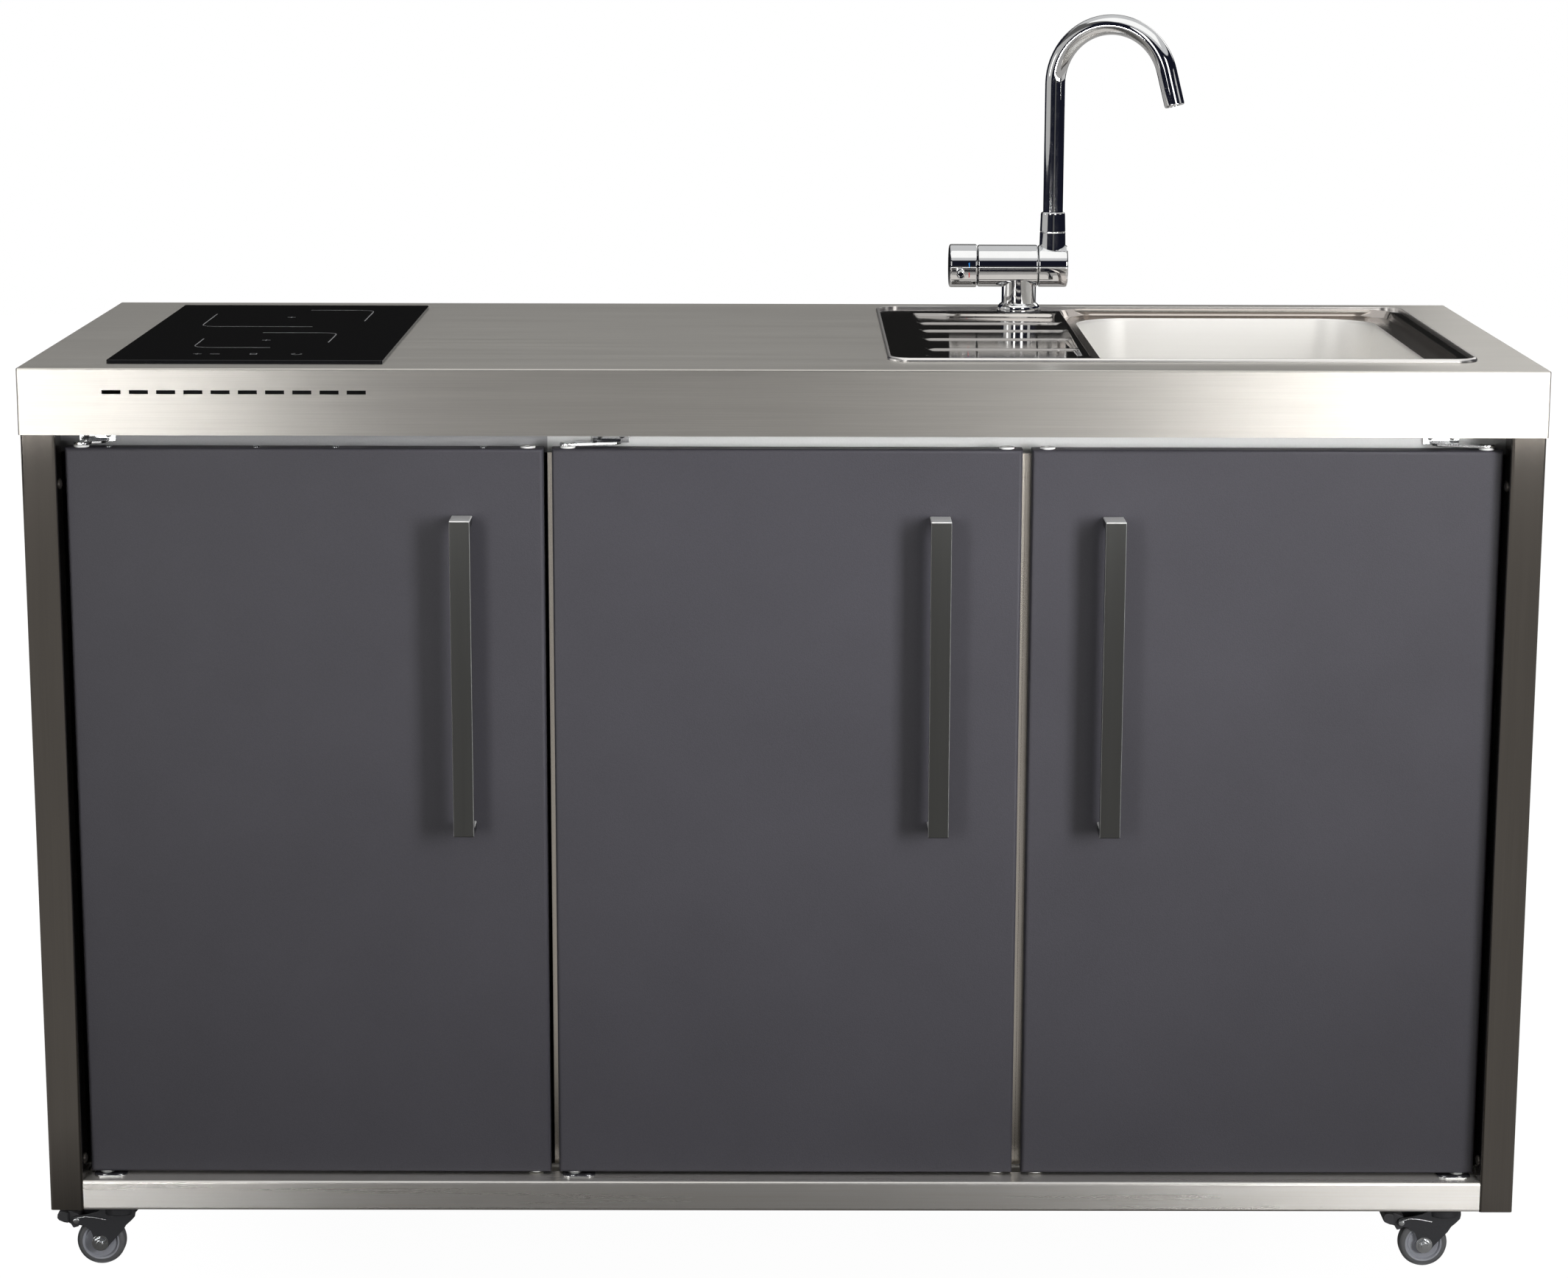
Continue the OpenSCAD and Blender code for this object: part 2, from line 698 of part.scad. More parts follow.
// Leg at one corner: sx is -1 or 1 for left or right, y0 is its front face
module leg(sx, y0) {
    x0 = sx > 0 ? leg_in : -leg_x;
    color("#4a4641") tube_z([x0, y0, base_z], [x0 + leg_w, y0 + leg_d, under]);
}

module base_rail_front() {
    color("#c2bbb2") tube_x([-leg_in, leg_front, base_z], [leg_in, leg_front_in, rail_z]);
}

module base_frame_rails() {
    color("#a29c94") {
        tube_x([-leg_in, leg_back_in, base_z], [leg_in, leg_back, rail_z]);
        for (s = [-1, 1]) {
            x0 = s > 0 ? leg_in : -leg_x;
            tube_y([x0, leg_front_in, base_z], [x0 + leg_w, leg_back_in, rail_z]);
            tube_y([s * castor_x - bearer_w / 2, leg_front_in, base_z],
                [s * castor_x + bearer_w / 2, leg_back_in, rail_z]);
        }
    }
}

module top_rail(x0, x1) {
    difference() {
        block([x0, carcass_y, top_rail_z], [x1, carcass_y + top_rail_d, apron_z]);
        block([x0 - 1, carcass_y + panel_t, top_rail_z + panel_t],
            [x1 + 1, carcass_y + top_rail_d + 1, apron_z - panel_t]);
    }
}

module fridge_top_rail() {
    color("#8b8b8b") top_rail(-side_x, divider_x);
}

module cupboard_top_rail() {
    color("#f0f0ee") top_rail(divider_x, side_x);
}

module back_panel() {
    color("#a9a7a3") difference() {
        block([-side_x, panel_y, floor_z], [side_x, leg_back_in, under]);
        translate([bowl_x, 0, pipe_z]) rod_y(pipe_r + 2, panel_y - 1, leg_back_in + 1);
        translate([inlet_x(), 0, inlet_z()]) rod_y(inlet_r, panel_y - 1, leg_back_in + 1);
        translate([gland_x(), 0, inlet_z()]) rod_y(gland_r, panel_y - 1, leg_back_in + 1);
    }
}

// Places of the two fittings on the back panel
function inlet_x() = bowl_x - 120;
function gland_x() = divider_x + 60;
function inlet_z() = pipe_z + 60;

module side_panels() {
    color("#b2afaa") for (s = [-1, 1]) {
        x0 = s > 0 ? side_x : -panel_x;
        f0 = s > 0 ? side_x - side_fold : -panel_x;
        block([x0, leg_front_in, rail_z], [x0 + panel_t, leg_back_in, under]);
        for (y = [leg_front_in, leg_back_in - panel_t - panel_t])
            block([f0, y, floor_z], [f0 + side_fold + panel_t, y + panel_t, top_rail_z - 2]);
    }
}

module floor_panel() {
    color("#a9a7a3") {
        block([-side_x, carcass_y, rail_z], [side_x, leg_back_in, floor_z]);
        block([-castor_x + bearer_w / 2 + 1, carcass_y, rail_z - floor_fold],
            [castor_x - bearer_w / 2 - 1, carcass_y + panel_t, rail_z]);
    }
}

// Folded divider with its flange turned to one side
module divider(x0, s) {
    block([x0, carcass_y, floor_z], [x0 + panel_t, panel_y, top_rail_z]);
    block([s > 0 ? x0 : x0 + panel_t - flange_w, carcass_y, floor_z],
        [s > 0 ? x0 + flange_w : x0 + panel_t, carcass_y + panel_t, top_rail_z]);
}

module fridge_divider() {
    color("#8d857b") divider(divider_x, 1);
}

module cupboard_dividers() {
    color("#aaa49b") {
        divider(pair_x - panel_t - seat_gap / 2, -1);
        divider(pair_x + seat_gap / 2, 1);
    }
}

module cupboard_shelf() {
    z = floor_z + shelf_z;
    x0 = divider_x + panel_t;
    x1 = pair_x - panel_t - seat_gap / 2;
    y0 = carcass_y + 25;
    y1 = panel_y - 20;
    color("#b4b2ad") {
        block([x0, y0, z - panel_t], [x1, y1, z]);
        for (y = [y0, y1 - panel_t]) block([x0, y, z - shelf_fold], [x1, y + panel_t, z]);
    }
}

// Magnetic catches under the top rail, at the free edges of the two cupboard doors
module cupboard_catches() {
    color("#3a3a3c") for (i = [1, 2]) {
        x = free_x(i) + door_hands[i] * (catch_w / 2 + 25);
        block([x - catch_w / 2, door_back + seat_gap, top_rail_z - catch_h],
            [x + catch_w / 2, carcass_y + top_rail_d, top_rail_z]);
    }
}

// Fridge

module fridge_cabinet() {
    color("#55565a") difference() {
        block([fridge_x0, carcass_y, floor_z], [fridge_x1, fridge_y1, fridge_top]);
        difference() {
            block([cavity_x0, carcass_y - 1, cavity_z0], [cavity_x1, cavity_y1, cavity_z1]);
            block([cavity_x0 - 1, hump_y, cavity_z0 - 1], [cavity_x1 + 1, cavity_y1 + 1, hump_z]);
        }
        block([fridge_x0 + machine_wall, fridge_y1 - machine_d, floor_z - 1],
            [fridge_x1 - machine_wall, fridge_y1 + 1, floor_z + machine_h]);
    }
}

module fridge_liner() {
    color("#f4f4f2") {
        difference() {
            block([cavity_x0, carcass_y, cavity_z0], [cavity_x1, cavity_y1, cavity_z1]);
            block([cavity_x0 + liner_t, carcass_y - 1, cavity_z0 + liner_t],
                [cavity_x1 - liner_t, cavity_y1 - liner_t, cavity_z1 - liner_t]);
            block([cavity_x0 - 1, hump_y, cavity_z0 - 1], [cavity_x1 + 1, cavity_y1 + 1, hump_z]);
        }
        block([cavity_x0, hump_y - liner_t, cavity_z0], [cavity_x1, hump_y, hump_z + liner_t]);
        block([cavity_x0, hump_y - liner_t, hump_z], [cavity_x1, cavity_y1, hump_z + liner_t]);
        for (z = shelf_levels, x = [cavity_x0 + liner_t, cavity_x1 - liner_t - ledge])
            block([x, carcass_y + 40, z - 8], [x + ledge, cavity_y1 - liner_t, z]);
    }
}

module fridge_shelves() {
    color("#dfe6e6") for (z = shelf_levels)
        block([cavity_x0 + liner_t + 1, carcass_y + 60, z],
            [cavity_x1 - liner_t - 1, cavity_y1 - 30, z + shelf_t]);
}

module compressor() {
    x = (fridge_x0 + fridge_x1) / 2;
    y = fridge_y1 - machine_d / 2;
    tray_z = floor_z + pot_foot;
    cap_z = floor_z + pot_h - pot_cap;
    color("#1d1d1f") {
        translate([x, y, tray_z + pot_tray]) cylinder(r = pot_r, h = cap_z - tray_z - pot_tray);
        translate([x, y, cap_z]) rotate_extrude()
            polygon([[0, 0], [pot_r, 0], [pot_r - 4, 8], [pot_r - 16, pot_cap - 1], [0, pot_cap]]);
        block([x - pot_r - 14, y - pot_r, tray_z], [x + pot_r + 14, y + pot_r, tray_z + pot_tray]);
        for (sx = [-1, 1], sy = [-1, 1])
            translate([x + sx * (pot_r + 4), y + sy * (pot_r - 12), floor_z]) cylinder(r = 8, h = pot_foot);
    }
}

// Doors

// Places of a door's pin, of its free edge and of its handle
function pin_x(i) = door_hands[i] < 0 ? door_xs[i] + pin_inset : door_xs[i] + door_ws[i] - pin_inset;
function free_x(i) = door_hands[i] < 0 ? door_xs[i] + door_ws[i] : door_xs[i];
function handle_x(i) = free_x(i) + door_hands[i] * handle_inset;
function bush_xs(i) = [door_xs[i] + pin_inset, door_xs[i] + door_ws[i] - pin_inset];

// Section of a slab with its two front edges rounded, the front at y = 0
module front_rounded(w, t, r) {
    translate([r, 0]) square([w - 2 * r, t]);
    translate([0, r]) square([w, t - r]);
    for (x = [r, w - r]) translate([x, r]) circle(r);
}

module door_pan(i) {
    w = door_ws[i];
    difference() {
        intersection() {
            translate([door_xs[i], door_y, door_z]) linear_extrude(door_h) front_rounded(w, door_t, door_r);
            translate([door_xs[i], door_y, door_top]) rotate([0, 90, 0]) linear_extrude(w)
                front_rounded(door_h, door_t, door_r);
        }
        block([door_xs[i] + pan_t, door_y + door_r, door_z + pan_t],
            [door_xs[i] + w - pan_t, door_back + 1, door_top - pan_t]);
        for (x = bush_xs(i)) translate([x, pin_y, door_z - 1]) cylinder(r = bush_r, h = door_h + 2);
    }
}

module door_liner(i) {
    difference() {
        block([door_xs[i] + pan_t, door_y + door_r, door_z + pan_t],
            [door_xs[i] + door_ws[i] - pan_t, door_back, door_top - pan_t]);
        for (x = bush_xs(i), z = [door_z, door_top - bush_l])
            translate([x, pin_y, z]) cylinder(r = bush_r, h = bush_l);
    }
}

// Bush with its collar outside the door and a blind hole for the pin
module bush(h) {
    difference() {
        union() {
            translate([0, 0, -bush_l]) cylinder(r = bush_r, h = bush_l);
            cylinder(r = bush_r + 1.5, h = h);
        }
        translate([0, 0, h - pin_l - 3]) cylinder(r = pin_r + run_gap, h = pin_l + 4);
    }
}

module door_bushes(i) {
    for (x = bush_xs(i)) {
        translate([x, pin_y, door_top]) bush(collar_h);
        translate([x, pin_y, door_z]) mirror([0, 0, 1]) bush(foot_collar);
    }
}

module door_handle(i) {
    z1 = door_top - handle_drop;
    translate([handle_x(i) - handle_w / 2, door_y - handle_reach, z1 - handle_l]) {
        cube([handle_w, handle_t, handle_l]);
        for (z = [0, handle_l - handle_t]) translate([0, 0, z]) cube([handle_w, handle_reach, handle_t]);
    }
}

module fridge_gasket() {
    inset = pin_inset + 1.5;
    color("#e9e9e6") difference() {
        block([door_xs[0] + inset, door_back, door_z + inset],
            [door_xs[0] + door_ws[0] - inset, carcass_y - seat_gap, fridge_top - seat_gap]);
        block([door_xs[0] + inset + gasket_w, door_back - 1, door_z + inset + gasket_w],
            [door_xs[0] + door_ws[0] - inset - gasket_w, carcass_y, fridge_top - seat_gap - gasket_w]);
    }
}

// Upper arm from the pin back to the top rail, and lower plate on the base rail
module hinge_set(i) {
    s = -door_hands[i];
    x = pin_x(i);
    r = bush_r + 2;
    run = i == 0 ? short_run : arm_run;
    y1 = carcass_y - arm_t - r;
    translate([0, 0, arm_z]) linear_extrude(arm_t) {
        translate([x, pin_y]) circle(r);
        translate([x + s * run, y1]) circle(r);
        polygon([[x, pin_y - r], [x + s * run, y1 - r], [x + s * run, y1 + r], [x, pin_y + r]]);
        translate([x + s * run - r, y1]) square([2 * r, carcass_y - y1]);
    }
    block([x + s * run - 18, carcass_y - arm_t, arm_z], [x + s * run + 18, carcass_y, arm_z + 12]);
    translate([x, pin_y, arm_z - seat_gap - pin_l]) cylinder(r = pin_r, h = pin_l + 1);
    foot_x = x + s * 5;
    foot_y0 = door_y - 9;
    translate([foot_x, (foot_y0 + leg_front_in) / 2, rail_z]) linear_extrude(foot_t)
        round_rect(foot_w, leg_front_in - foot_y0, 8);
    translate([x, pin_y, rail_z + foot_t - 0.5]) cylinder(r = pin_r, h = pin_l + 0.5);
}

module door_hinges() {
    color("#d0d2d4") for (i = [0:2]) hinge_set(i);
}

module leg_screws() {
    color("#2a2826") for (s = [-1, 1], y = [leg_front + leg_d / 2, leg_back - leg_d / 2])
        for (z = [top_h - screw_drop, rail_z + screw_rise])
            translate([s * leg_in, y, z]) rotate([0, -s * 90, 0])
                cylinder(r1 = screw_r, r2 = screw_r - 2, h = 2.4);
}

// Castors

module castor_plate() {
    hole = plate_w / 2 - 7;
    difference() {
        union() {
            translate([0, 0, castor_h - plate_t]) linear_extrude(plate_t) round_rect(plate_w, plate_w, 5);
            translate([0, 0, race_z]) cylinder(r = race_r, h = race_h + eps);
            translate([0, 0, crown_z - 2.3]) cylinder(r = king_r, h = race_z - crown_z + 3);
            translate([0, 0, crown_z - 2.3]) cylinder(r = king_r + 3, h = 2);
        }
        for (x = [-hole, hole], y = [-hole, hole])
            translate([x, y, castor_h - plate_t - 1]) cylinder(r = 3.2, h = plate_t + 2);
    }
    for (x = [-hole, hole], y = [-hole, hole]) translate([x, y, castor_h - plate_t - run_gap - bolt_h]) {
        cylinder(r = 5, h = bolt_h, $fn = 6);
        cylinder(r = 3, h = bolt_h + plate_t);
    }
}

module castor_plates() {
    color("#2b2b2e") for (x = [-castor_x, castor_x], y = castor_ys) translate([x, y, 0]) castor_plate();
}

// Side outline of a fork's arm, from the crown to the axle and the brake's ear
module fork_outline() {
    crown_top = crown_z + crown_h;
    polygon([[-race_r, crown_top], [race_r + 1, crown_top], [race_r + 1, crown_z - 1],
        [-trail + 7, wheel_r + 1], [-trail - 7.5, wheel_r], [-trail - 9, wheel_r + 13],
        [ear_x, ear_z - 4], [ear_x, ear_z + 4]]);
    translate([-trail, wheel_r]) circle(7.5);
    translate([ear_x, ear_z]) circle(4);
}

module fork() {
    color("#2b2b2e") difference() {
        union() {
            translate([0, 0, crown_z]) cylinder(r = race_r + 2, h = crown_h);
            for (y = [-fork_in - fork_t, fork_in]) translate([0, y + fork_t, 0]) rotate([90, 0, 0])
                linear_extrude(fork_t) fork_outline();
        }
        translate([0, 0, crown_z - 30]) cylinder(r = king_r + run_gap, h = 60);
        translate([-trail, 0, wheel_r]) rod_y(axle_r + run_gap, -40, 40);
        translate([ear_x, 0, ear_z]) rod_y(ear_pin_r + run_gap, -40, 40);
        translate([0, 0, crown_z - 60]) cylinder(r = king_r + 3.3, h = 60 - eps);
    }
    color("#c9ccd0") translate([-trail, 0, wheel_r]) {
        rod_y(axle_r, -nut_y - 2, nut_y + 2);
        for (y = [-nut_y - nut_t, nut_y]) translate([0, y + nut_t, 0]) rotate([90, 0, 0])
            cylinder(r = 6.5, h = nut_t, $fn = 6);
    }
    color("#c9ccd0") translate([ear_x, 0, ear_z]) rod_y(ear_pin_r, -nut_y - 1, nut_y + 1);
}

module wheel() {
    w = wheel_w / 2;
    tyre_in = wheel_r - tyre_t + run_gap;
    translate([-trail, 0, wheel_r]) rotate([90, 0, 0]) {
        color("#b6b8bf") rotate_extrude($fn = 64) polygon([[axle_r + run_gap, -w], [axle_r + 5, -w],
            [axle_r + 6, -w + 2], [wheel_r - tyre_t - 2, -w + 2], [wheel_r - tyre_t, -w],
            [wheel_r - tyre_t, w], [wheel_r - tyre_t - 2, w - 2], [axle_r + 6, w - 2], [axle_r + 5, w],
            [axle_r + run_gap, w]]);
        color("#6d6e70") rotate_extrude($fn = 64) polygon([[tyre_in, -w], [wheel_r - 2.5, -w],
            [wheel_r - 0.7, -w + 2], [wheel_r, -w + 4.5], [wheel_r, w - 4.5], [wheel_r - 0.7, w - 2],
            [wheel_r - 2.5, w], [tyre_in, w]]);
    }
}

module brake_pedal() {
    half = fork_in - seat_gap;
    color("#232326") translate([ear_x, 0, ear_z]) rotate([90, 0, 0]) difference() {
        union() {
            translate([0, 0, -half]) linear_extrude(2 * half) {
                circle(ear_pin_r + 2);
                polygon([[-14, 11], [-4, 10], [3, 4], [4, -3],
                    [2, -8], [-4, -9.5], [-6.5, -4.5], [-14, -0.5]]);
            }
            translate([0, 0, -paddle_w / 2]) linear_extrude(paddle_w)
                polygon([[-19.5, 3], [-18, 10.5], [-13, 11], [-8, 9], [-8, -2.5], [-17.5, 1]]);
        }
        translate([0, 0, -40]) cylinder(r = ear_pin_r + run_gap, h = 80);
    }
}

// Puts a castor's piece in its place: sx is -1 or 1, row is 0 for the front and 1 for the back
module at_castor(sx, row) {
    translate([sx * castor_x, castor_ys[row], 0]) children();
}

// Fittings on the back panel

module cable_gland() {
    color("#232326") translate([gland_x(), 0, inlet_z()]) difference() {
        union() {
            rod_y(gland_r, panel_y - 8, leg_back_in + 12);
            rod_y(gland_r + 4, leg_back_in, leg_back_in + 5);
            translate([0, panel_y, 0]) rotate([90, 0, 0]) cylinder(r = gland_r + 5, h = 5, $fn = 6);
        }
        rod_y(cable_r, panel_y - 20, leg_back_in + 20);
    }
}

module water_inlet() {
    color("#c9a45c") translate([inlet_x(), 0, inlet_z()]) difference() {
        union() {
            rod_y(inlet_r, panel_y - 12, leg_back_in + 5 + inlet_l);
            rod_y(inlet_r + 5, leg_back_in, leg_back_in + 5);
            translate([0, panel_y, 0]) rotate([90, 0, 0]) cylinder(r = inlet_r + 5, h = 6, $fn = 6);
        }
        rod_y(inlet_r - 3, panel_y - 20, leg_back_in + 40);
    }
}

pan_colour = "#45454d";
liner_colour = "#8c8f92";
handle_colour = "#9a958c";
bush_colour = "#f2f2ee";

worktop();
hob_glass();
hob_case();
sink();
sink_waste();
bottle_trap();
tap_body();
leg(-1, leg_front);  // leg_front_left
leg(1, leg_front);  // leg_front_right
leg(-1, leg_back_in);  // leg_rear_left
leg(1, leg_back_in);  // leg_rear_right
base_rail_front();
base_frame_rails();
fridge_top_rail();
cupboard_top_rail();
back_panel();
side_panels();
floor_panel();
fridge_divider();
cupboard_dividers();
cupboard_shelf();
cupboard_catches();
fridge_cabinet();
fridge_liner();
fridge_shelves();
compressor();
door_hinges();
leg_screws();
castor_plates();
cable_gland();
water_inlet();
color(pan_colour) door_pan(0);  // fridge_door_pan
color(liner_colour) door_liner(0);  // fridge_door_liner
color(handle_colour) door_handle(0);  // fridge_door_handle
color(bush_colour) door_bushes(0);  // fridge_door_bushes
fridge_gasket();
color(pan_colour) door_pan(1);  // middle_door_pan
color(liner_colour) door_liner(1);  // middle_door_liner
color(handle_colour) door_handle(1);  // middle_door_handle
color(bush_colour) door_bushes(1);  // middle_door_bushes
color(pan_colour) door_pan(2);  // right_door_pan
color(liner_colour) door_liner(2);  // right_door_liner
color(handle_colour) door_handle(2);  // right_door_handle
color(bush_colour) door_bushes(2);  // right_door_bushes
tap_cartridge();
tap_knob();
tap_lever();
spout_hub();
spout();
aerator();
at_castor(-1, 0) fork();  // fork_front_left
at_castor(1, 0) fork();  // fork_front_right
at_castor(-1, 1) fork();  // fork_rear_left
at_castor(1, 1) fork();  // fork_rear_right
at_castor(-1, 0) wheel();  // wheel_front_left
at_castor(1, 0) wheel();  // wheel_front_right
at_castor(-1, 1) wheel();  // wheel_rear_left
at_castor(1, 1) wheel();  // wheel_rear_right
at_castor(-1, 0) brake_pedal();  // brake_pedal_left
at_castor(1, 0) brake_pedal();  // brake_pedal_right
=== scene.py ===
# Looks of the outdoor kitchen unit: brushed steel frame, coated doors, hob, pressed sink and chrome tap.
import math
import bmesh
import bpy
from mathutils import Matrix, Vector


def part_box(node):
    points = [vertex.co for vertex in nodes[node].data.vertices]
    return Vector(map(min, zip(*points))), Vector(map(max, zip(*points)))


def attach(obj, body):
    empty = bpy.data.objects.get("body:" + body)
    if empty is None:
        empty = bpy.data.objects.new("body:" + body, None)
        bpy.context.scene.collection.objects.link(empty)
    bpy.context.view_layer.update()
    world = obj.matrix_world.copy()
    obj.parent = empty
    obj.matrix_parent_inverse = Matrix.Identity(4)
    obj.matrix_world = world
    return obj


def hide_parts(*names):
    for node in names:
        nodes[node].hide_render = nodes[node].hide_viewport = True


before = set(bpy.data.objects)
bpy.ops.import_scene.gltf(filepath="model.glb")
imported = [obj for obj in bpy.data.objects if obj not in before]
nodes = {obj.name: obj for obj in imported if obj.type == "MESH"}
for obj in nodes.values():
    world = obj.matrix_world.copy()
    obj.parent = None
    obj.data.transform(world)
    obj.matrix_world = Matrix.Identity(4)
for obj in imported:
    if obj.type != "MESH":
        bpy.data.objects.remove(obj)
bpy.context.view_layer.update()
print("frame loaded,", len(nodes), "nodes")


# Materials

def startMaterial(name, color, rough, metal=0.0, **sockets):
    material = bpy.data.materials.new(name)
    material.use_nodes = True
    shader = material.node_tree.nodes["Principled BSDF"]
    shader.inputs["Base Color"].default_value = (*color, 1)
    shader.inputs["Roughness"].default_value = rough
    shader.inputs["Metallic"].default_value = metal
    for socket, value in sockets.items():
        shader.inputs[socket.replace("_", " ")].default_value = value
    return material, material.node_tree, shader


def addNode(tree, kind, inputs=None, **settings):
    node = tree.nodes.new(kind)
    for setting, value in settings.items():
        setattr(node, setting, value)
    for socket, value in (inputs or {}).items():
        node.inputs[socket].default_value = value
    return node


def addNoise(tree, stretch, detail=3.0, rough=0.55):
    coords = addNode(tree, "ShaderNodeTexCoord")
    mapping = addNode(tree, "ShaderNodeMapping", {"Scale": stretch})
    noise = addNode(tree, "ShaderNodeTexNoise", {"Scale": 1.0, "Detail": detail, "Roughness": rough})
    tree.links.new(coords.outputs["Object"], mapping.inputs["Vector"])
    tree.links.new(mapping.outputs["Vector"], noise.inputs["Vector"])
    return noise.outputs["Fac"]


def addRange(tree, value, low, high, fromLow=0.25, fromHigh=0.75):
    spread = addNode(tree, "ShaderNodeMapRange", {
        "From Min": fromLow, "From Max": fromHigh, "To Min": low, "To Max": high})
    tree.links.new(value, spread.inputs["Value"])
    return spread.outputs["Result"]


def addTint(tree, factor, dark, light):
    mix = addNode(tree, "ShaderNodeMix", data_type="RGBA")
    mix.inputs[6].default_value = (*dark, 1)
    mix.inputs[7].default_value = (*light, 1)
    tree.links.new(factor, mix.inputs[0])
    return mix.outputs[2]


def addBump(tree, shader, height, strength, distance):
    bump = addNode(tree, "ShaderNodeBump", {"Strength": strength, "Distance": distance})
    tree.links.new(height, bump.inputs["Height"])
    tree.links.new(bump.outputs["Normal"], shader.inputs["Normal"])


def shade(color, amount):
    return tuple(min(1.0, part * amount) for part in color)


def addMottle(tree, factor, look):
    dark, light = (shade(look["color"], 1 + sign * look["contrast"]) for sign in (-1, 1))
    return addTint(tree, factor, dark, light)


# Brushed sheet: fine grain along one axis, cloudy tone, and streaks that change the gloss
def brushedSteel(name, look):
    material, tree, shader = startMaterial(name, look["color"], look["rough"], look.get("metal", 1.0),
        Anisotropic=look["streak"])
    link = tree.links.new
    along = "xyz".index(look["grain"])
    fine = [look["fineness"]] * 3
    fine[along] = look["fineness"] * 0.006
    grain = addNoise(tree, fine, 2.0)
    long = [90.0] * 3
    long[along] = 2.2
    streaks = addNoise(tree, long, 4.0, 0.6)
    clouds = addNoise(tree, (7.0, 7.0, 7.0), 3.0)
    joined = addNode(tree, "ShaderNodeMath", operation="MULTIPLY_ADD")
    joined.inputs[1].default_value = 0.6
    link(grain, joined.inputs[0])
    link(addRange(tree, streaks, 0.1, 0.3), joined.inputs[2])
    tone = addNode(tree, "ShaderNodeMath", operation="MULTIPLY")
    link(addRange(tree, clouds, 0.88, 1.08), tone.inputs[0])
    link(joined.outputs[0], tone.inputs[1])
    tinted = addMottle(tree, tone.outputs[0], look)
    link(tinted, shader.inputs["Base Color"])
    link(addRange(tree, streaks, look["rough"] * 0.95, look["rough"] * 1.05), shader.inputs["Roughness"])
    tangent = addNode(tree, "ShaderNodeTangent", direction_type="RADIAL", axis=look["grain"].upper())
    link(tangent.outputs[0], shader.inputs["Tangent"])
    addBump(tree, shader, grain, look["bump"], 0.0004)
    return material


# Polished or plated metal with faint smears
def brightMetal(name, look):
    material, tree, shader = startMaterial(name, look["color"], look["rough"], 1.0)
    smears = addNoise(tree, (60.0, 60.0, 60.0), 3.0)
    tree.links.new(addRange(tree, smears, look["rough"] * 0.7, look["rough"] * 1.5),
        shader.inputs["Roughness"])
    tinted = addTint(tree, addRange(tree, smears, 0.0, 1.0), shade(look["color"], 0.95), look["color"])
    tree.links.new(tinted, shader.inputs["Base Color"])
    waves = addNoise(tree, (220.0, 220.0, 220.0), 1.0)
    addBump(tree, shader, waves, look["bump"], 0.0003)
    return material


# Coated, moulded or rubber surfaces: mottled tone with a fine grain
def grainedSurface(name, look):
    material, tree, shader = startMaterial(name, look["color"], look["rough"], look.get("metal", 0.0),
        Specular_IOR_Level=look.get("gloss", 0.5))
    link = tree.links.new
    size = look.get("fineness", plainFineness)
    grain = addNoise(tree, (size, size, size), 2.0)
    clouds = addNoise(tree, (9.0, 9.0, 9.0), 3.0)
    joined = addNode(tree, "ShaderNodeMath", operation="MULTIPLY_ADD")
    joined.inputs[1].default_value = 0.5
    link(addRange(tree, grain, 0.0, 1.0), joined.inputs[0])
    link(addRange(tree, clouds, 0.1, 0.4), joined.inputs[2])
    tinted = addMottle(tree, joined.outputs[0], look)
    link(tinted, shader.inputs["Base Color"])
    link(addRange(tree, grain, look["rough"] * 0.9, look["rough"] * 1.12), shader.inputs["Roughness"])
    addBump(tree, shader, grain, look["bump"], 0.0003)
    return material


